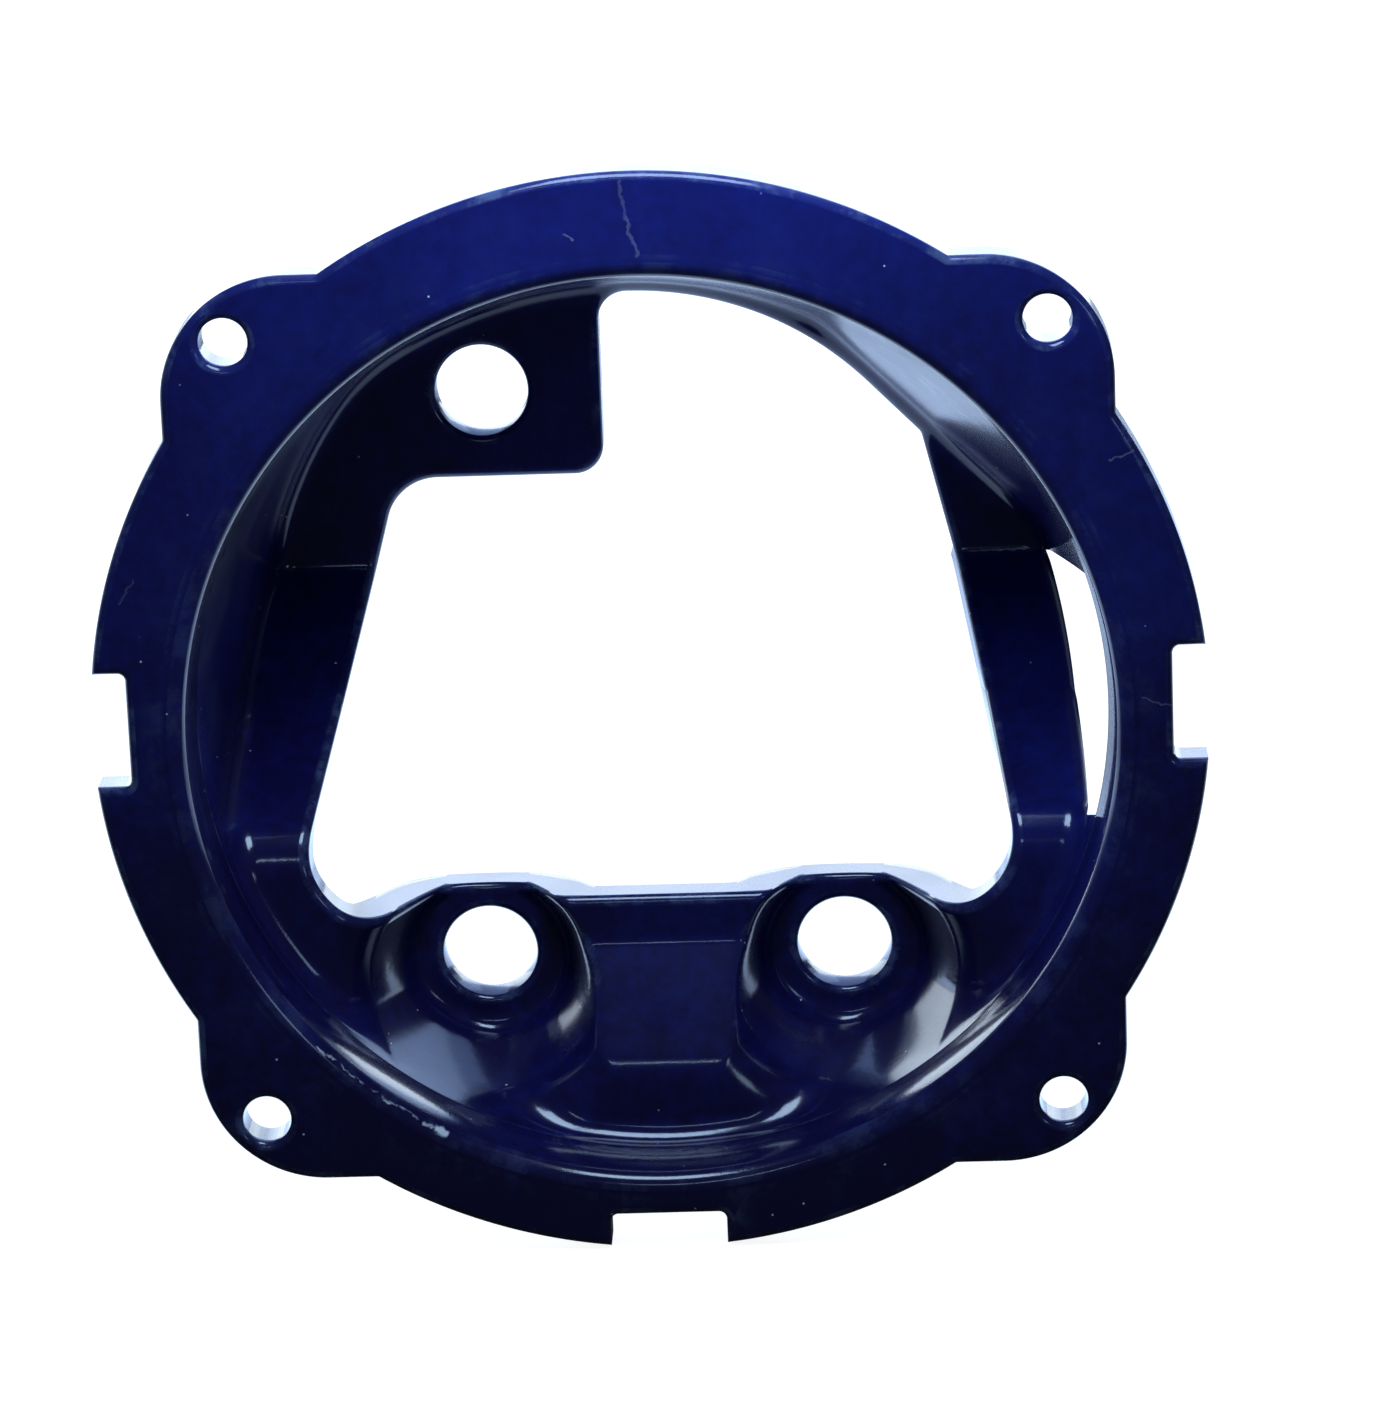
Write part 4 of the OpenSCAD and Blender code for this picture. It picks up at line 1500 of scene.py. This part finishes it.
@dataclass(frozen=True)
class ZoneCutter:
    """Parts the pierced cup into its formed zones, each closed at its seams.

    Attributes:
        sizes: the pressing's sizes.
        seam_gap: how far inside the walls the floor's seam runs.
        pad_inset: how far inside the flank's foot a pad's seam runs.
        far: how far from the axis the tools reach.
        deep: how deep they reach.
        core_depths: the depths from which and to which the core runs.
        core_grid: points down the core and round it.
        search: the distances from the axis between which the walls are looked for.
        halvings: how many times the room between them is halved.
        pad_steps: points round a pad's tool.
    """

    sizes: PressSizes
    seam_gap: float = 0.9
    pad_inset: float = 1.0
    far: float = 100.0
    deep: float = 90.0
    core_depths: Point = (5.0, 76.0)
    core_grid: tuple[int, int] = (72, 480)
    search: Point = (10.0, 95.0)
    halvings: int = 32
    pad_steps: int = 240

    def prism(self, corners: Iterable[Point], plan: bool = True) -> Piece:
        """Extrudes a plain tool.

        Args:
            corners: x and y of each corner, or y and depth where plan is false.
            plan: True for a tool that runs along the depth, False for one that runs along x.

        Returns:
            The tool.
        """
        if plan:
            ends = [[(x, y, depth) for x, y in corners] for depth in (0.0, self.deep)]
        else:
            ends = [[(x, y, depth) for y, depth in corners] for x in (-self.far, self.far)]
        return closed_tube("zone_tool", np.array(ends, float), self.sizes)

    def core(self) -> Piece:
        """Fills the room between the walls, so that it parts the floor from them.

        Returns:
            The tool.
        """
        skin, (down, around) = PressedSkin(self.sizes, 0.0), self.core_grid
        depths, turns = np.linspace(*self.core_depths, down), np.linspace(0.0, 2 * np.pi, around, endpoint=False)
        depth, turn = np.meshgrid(depths, turns, indexing="ij")
        start, end = (np.full_like(depth, radius) for radius in self.search)

        def free(r: np.ndarray) -> np.ndarray:
            """Says which points lie far enough inside the walls."""
            return skin.wall_gap(r * np.cos(turn), r * np.sin(turn), depth) > self.seam_gap

        radius = halve(free, start, end, self.halvings)[0]
        return closed_tube("core", np.stack([radius * np.cos(turn), radius * np.sin(turn), depth], -1), self.sizes)

    def box(self, x0: float, y0: float, x1: float, y1: float) -> Piece:
        """Makes a tall box over a plan rectangle."""
        return self.prism([(x0, y0), (x1, y0), (x1, y1), (x0, y1)])

    def above_seam(self) -> Piece:
        """Makes the tool over everything above the window's leaning head.

        Returns:
            The tool.
        """
        s = self.sizes
        front, back = ((s.arm_head_y + s.window_lean * (s.head - depth), depth) for depth in (0.0, self.deep))
        return self.prism([front, back, (self.far, self.deep), (self.far, 0.0)], plan=False)

    def wedge(self) -> Piece:
        """Makes the tool over the foot between the two lower ears."""
        return self.prism([(0.0, 0.0), (-self.far, -self.far), (self.far, -self.far)])

    def pad_plan(self, side: float) -> Piece:
        """Makes the round tool over one pad with its flank.

        Args:
            side: -1 for the left pad, 1 for the right one.

        Returns:
            The tool.
        """
        s = self.sizes
        bend = math.atan2(s.pad - s.ledge, s.recess_r - s.pad_r)
        radius = s.recess_r + (s.bend_r + s.sheet) * math.tan(bend / 2) - self.pad_inset
        return self.prism(circle_points(radius, (side * s.pad_x, -s.pad_drop), self.pad_steps))

    @staticmethod
    def share(whole: Piece, tool: Piece, operation: str = "INTERSECT") -> Piece:
        """Copies an object and works on the copy with a tool.

        Args:
            whole: the object, which stays as it is.
            tool: the tool, which is used up.
            operation: what combine does with them.

        Returns:
            The copy.
        """
        twin = whole.copy()
        twin.data = whole.data.copy()
        bpy.context.scene.collection.objects.link(twin)
        combine(twin, tool, operation)
        return twin

    def part(self, cup: Piece) -> dict[Zone, Piece]:
        """Parts the cup.

        Args:
            cup: the whole pierced cup, which stays as it is.

        Returns:
            The closed piece of each zone.
        """
        s, far = self.sizes, self.far
        walls, floor = (self.share(cup, self.core(), operation) for operation in ("DIFFERENCE", "INTERSECT"))
        low_walls = self.share(walls, self.above_seam(), "DIFFERENCE")
        upper = self.share(walls, self.above_seam())
        sides = self.share(low_walls, self.wedge(), "DIFFERENCE")
        foot = self.share(floor, self.box(-far, -far, far, s.arm_foot_y))
        pieces = {Zone.LOWER_WALL: self.share(low_walls, self.wedge())}
        halves = (
            (upper, Zone.UPPER_LEFT_WALL, Zone.UPPER_RIGHT_WALL, (-far, far)),
            (sides, Zone.LEFT_WALL, Zone.RIGHT_WALL, (-far, far)),
            (floor, Zone.LEFT_ARM, Zone.RIGHT_ARM, (s.arm_foot_y, s.arm_head_y)),
            (floor, Zone.MOUNTING_TAB, Zone.RIGHT_SHOULDER, (s.arm_head_y, far)),
        )
        for whole, left, right, (low, high) in halves:
            pieces[left] = self.share(whole, self.box(-far, low, 0.0, high))
            pieces[right] = self.share(whole, self.box(0.0, low, far, high))
        rest = self.share(foot, self.pad_plan(-1.0), "DIFFERENCE")
        combine(rest, self.pad_plan(1.0), "DIFFERENCE")
        pieces[Zone.LEFT_PAD] = self.share(foot, self.pad_plan(-1.0))
        pieces[Zone.RIGHT_PAD] = self.share(foot, self.pad_plan(1.0))
        borders = (-far, -s.pad_x, s.pad_x, far)
        for zone, x0, x1 in zip((Zone.LEFT_LEDGE, Zone.CENTRE_WEB, Zone.RIGHT_LEDGE), borders, borders[1:]):
            pieces[zone] = self.share(rest, self.box(x0, -far, x1, far))
        for spare in (walls, low_walls, upper, sides, floor, foot, rest):
            bpy.data.objects.remove(spare, do_unlink=True)
        for zone, piece in pieces.items():
            piece.name = piece.data.name = "pressed_" + zone.value
            self.take_shading(piece, cup)
        return pieces

    @staticmethod
    def take_shading(piece: Piece, cup: Piece) -> None:
        """Gives a piece the whole cup's shading and wear, so that its seams don't show.

        Args:
            piece: the piece.
            cup: the whole cup.
        """
        activate(piece)
        modifier = piece.modifiers.new("shading", "DATA_TRANSFER")
        modifier.object = cup
        modifier.use_loop_data = modifier.use_vert_data = True
        modifier.data_types_loops, modifier.loop_mapping = {"CUSTOM_NORMAL"}, "NEAREST_POLYNOR"
        modifier.data_types_verts, modifier.vert_mapping = {"COLOR_VERTEX"}, "POLYINTERP_NEAREST"
        bpy.ops.object.modifier_apply(modifier=modifier.name)


PALE, COOL, BLUE, DUSK = (0.74, 0.86, 1.0), (0.50, 0.70, 1.0), (0.34, 0.53, 1.0), (0.50, 0.68, 1.0)
WHITE = (1.0, 1.0, 1.0)


@dataclass(frozen=True)
class Lamp:
    """One soft box.

    Attributes:
        name: its name.
        at: where its middle hangs.
        size: width and height of its face.
        watts: its power.
        colour: its linear colour.
        fading: whether it fades toward its rim, as three boxes one in another.
        aim: the point that it faces.
    """

    GROWTHS = (1.30, 1.0, 0.70)  # sizes of the three boxes

    name: str
    at: Triple
    size: Point
    watts: float
    colour: Triple = WHITE
    fading: bool = False
    aim: Triple = (0.0, 0.0, 0.0)

    def hang(self) -> None:
        """Hangs the box, or the three that it is made of."""
        growths = self.GROWTHS if self.fading else (1.0,)
        for index, grown in enumerate(growths):
            name = f"{self.name}_{index}" if self.fading else self.name
            data = bpy.data.lights.new(name, "AREA")
            data.shape = "RECTANGLE"
            data.size, data.size_y = self.size[0] * grown, self.size[1] * grown
            data.energy = self.watts * grown / len(growths)
            data.color = self.colour
            lamp = add_object(name, data)
            lamp.visible_camera = False
            away = Vector(self.at) - Vector(self.aim)
            lamp.matrix_world = Matrix.Translation(self.at) @ away.to_track_quat("Z", "Y").to_matrix().to_4x4()


@dataclass(frozen=True)
class Studio:
    """The floor, the lamps and the camera round the part.

    Attributes:
        floor_z: height of the floor, just under the lowest rim.
        floor_size: length of its sides.
        floor_grey: how much of the light it scatters.
        lens: focal length in millimetres.
        sensor: width of the sensor in millimetres.
        near: distance from which the camera sees.
        camera_at: place of the camera.
        tilt: the camera's tilt from straight down, in degrees.
        pan: the camera's small turn about its own upright, in degrees.
        roll: the camera's small roll, in degrees.
        floor_glow: how bright the floor is by itself, so that it stays pale under few lamps.
        room_colour: linear colour of the room's light.
        room_light: how bright it is.
        glow_depths: depths of the lamps that lie on the floor behind the part.
        glow_start: how far behind the ring's face they start.
        glow_lift: how far they lie above the floor.
        glow_width: how many times as wide as deep each of them is.
        glow_watts: their power for each metre of depth.
        back_lamps: the other lamps behind the part.
        front_lamps: the lamps above it and before it.
    """

    floor_z: float = -0.0793
    floor_size: float = 8.0
    floor_grey: float = 0.55
    lens: float = 163.26
    sensor: float = 36.0
    near: float = 0.01
    camera_at: Triple = (0.0383, -0.8774, 0.2568)
    tilt: float = 73.87
    pan: float = 2.04
    roll: float = -1.565
    floor_glow: float = 0.90
    room_colour: Triple = (0.85, 0.90, 1.0)
    room_light: float = 0.04
    glow_depths: Triple = (1.15, 0.85, 0.60)
    glow_start: float = 0.02
    glow_lift: float = 0.0005
    glow_width: float = 1.8
    glow_watts: float = 3.6
    back_lamps: tuple[Lamp, ...] = (
        Lamp("back_band", (-0.30, 1.2, 0.17), (2.0, 0.5), 10.5, PALE),
        Lamp("sky_band", (0.14, 1.15, 0.66), (1.1, 0.5), 11.0, BLUE, fading=True),
        Lamp("left_band", (-1.0, 0.45, 0.12), (0.9, 0.6), 3.6, COOL, fading=True),
        Lamp("lip_sheen_left", (0.47, 1.05, 0.40), (0.46, 0.44), 2.4, COOL, fading=True),
        Lamp("lip_sheen_right", (-0.50, 1.05, 0.26), (0.36, 0.30), 0.8, COOL, fading=True),
    )
    front_lamps: tuple[Lamp, ...] = (
        Lamp("overhead", (0.10, 0.10, 1.0), (0.7, 0.7), 1.0),
        Lamp("front_strip", (-0.11, -0.85, 0.42), (0.26, 0.03), 0.30, COOL),
        Lamp("front_right", (0.50, -0.72, 0.15), (0.14, 0.14), 0.30, COOL),
        Lamp("top_key", (0.0, -0.07, 0.19), (0.09, 0.09), 0.42, COOL, aim=(0.01, 0.0, 0.05)),
    )

    def build_camera(self) -> None:
        """Places the camera and makes it the scene's."""
        data = bpy.data.cameras.new("view")
        data.lens, data.sensor_width, data.clip_start = self.lens, self.sensor, self.near
        camera = add_object("view", data)
        turn = Matrix.Identity(4)
        for degrees, axis in ((self.tilt, "X"), (self.pan, "Y"), (self.roll, "Z")):
            turn = turn @ Matrix.Rotation(math.radians(degrees), 4, axis)
        camera.matrix_world = Matrix.Translation(self.camera_at) @ turn
        bpy.context.scene.camera = camera

    def build_world(self) -> None:
        """Sets a faint room light on the part, and white where the camera sees past it."""
        world = bpy.data.worlds.new("room")
        bpy.context.scene.world = world
        desk = Desk(world)
        fill = desk.add("Background", {"Color": (*self.room_colour, 1.0), "Strength": self.room_light})
        white = desk.add("Background", {"Color": (*WHITE, 1.0), "Strength": 1.0})
        seen = desk.add("LightPath").outputs["Is Camera Ray"]
        mix = desk.add("MixShader", {0: seen, 1: fill.outputs["Background"], 2: white.outputs["Background"]})
        desk.add("OutputWorld", {"Surface": mix.outputs["Shader"]})

    def build_floor(self) -> None:
        """Lays the pale floor, which only the camera sees and the part's shadow falls on."""
        bpy.ops.object.select_all(action="DESELECT")
        bpy.ops.mesh.primitive_plane_add(size=self.floor_size, location=(0.0, 0.0, self.floor_z))
        floor = bpy.context.active_object
        floor.name = "floor"
        material = bpy.data.materials.new(Finish.FLOOR.value)
        desk = Desk(material)
        paint = desk.add("BsdfDiffuse", {"Color": (*[self.floor_grey] * 3, 1.0)})
        glow = desk.add("Emission", {"Color": (*WHITE, 1.0), "Strength": self.floor_glow})
        both = desk.add("AddShader", {0: paint.outputs["BSDF"], 1: glow.outputs["Emission"]})
        desk.add("OutputMaterial", {"Surface": both.outputs["Shader"]})
        floor.data.materials.append(material)
        floor.visible_glossy = floor.visible_diffuse = False

    def table_glow(self, index: int, deep: float) -> Lamp:
        """Lays one lamp face up on the floor behind the part.

        Args:
            index: its number.
            deep: its depth.

        Returns:
            The lamp.
        """
        at = (0.0, self.glow_start + deep / 2, self.floor_z + self.glow_lift)
        size, watts = (self.glow_width * deep, deep), self.glow_watts * deep
        return Lamp(f"table_glow_{index}", at, size, watts, DUSK, aim=(at[0], at[1], 1.0))

    def build(self) -> None:
        """Builds the whole studio."""
        self.build_camera()
        self.build_world()
        self.build_floor()
        glow = [self.table_glow(index, deep) for index, deep in enumerate(self.glow_depths)]
        for lamp in (*self.back_lamps, *glow, *self.front_lamps):
            lamp.hang()


def main() -> None:
    """Builds the scene in order and reports each piece."""
    logging.basicConfig(level=logging.INFO, format="%(name)s: %(message)s")
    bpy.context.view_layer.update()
    bpy.context.scene.view_settings.view_transform = "Standard"
    enamel = Enamel().build()
    for name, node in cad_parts.items():
        node.data.materials.clear()
        node.data.materials.append(enamel)
        LOG.info("%s dressed", name)
    sizes = PressSizes()
    pieces = {"flange_ring": FlangeRing(sizes).build(), "throat_collar": ThroatCollar(sizes).build()}
    for piece in pieces.values():
        mark_wear(piece)
    cup = PressedCup(sizes, *FINE).build("pressed_cup")
    LOG.info("cup laid out")
    Punches(sizes).pierce(cup)
    LOG.info("cup pierced")
    shade(cup, CUP_CREASE)
    mark_wear(cup)
    for zone, piece in ZoneCutter(sizes).part(cup).items():
        pieces[zone.value] = piece
    bpy.data.objects.remove(cup, do_unlink=True)
    for node, piece in pieces.items():
        piece.data.materials.clear()
        piece.data.materials.append(enamel)
        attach(piece, BODY)
        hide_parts(node)
        LOG.info("%s: %d faces", piece.name, len(piece.data.polygons))
    Studio().build()
    bpy.context.view_layer.update()
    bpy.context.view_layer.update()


if __name__ == "__main__":
    main()
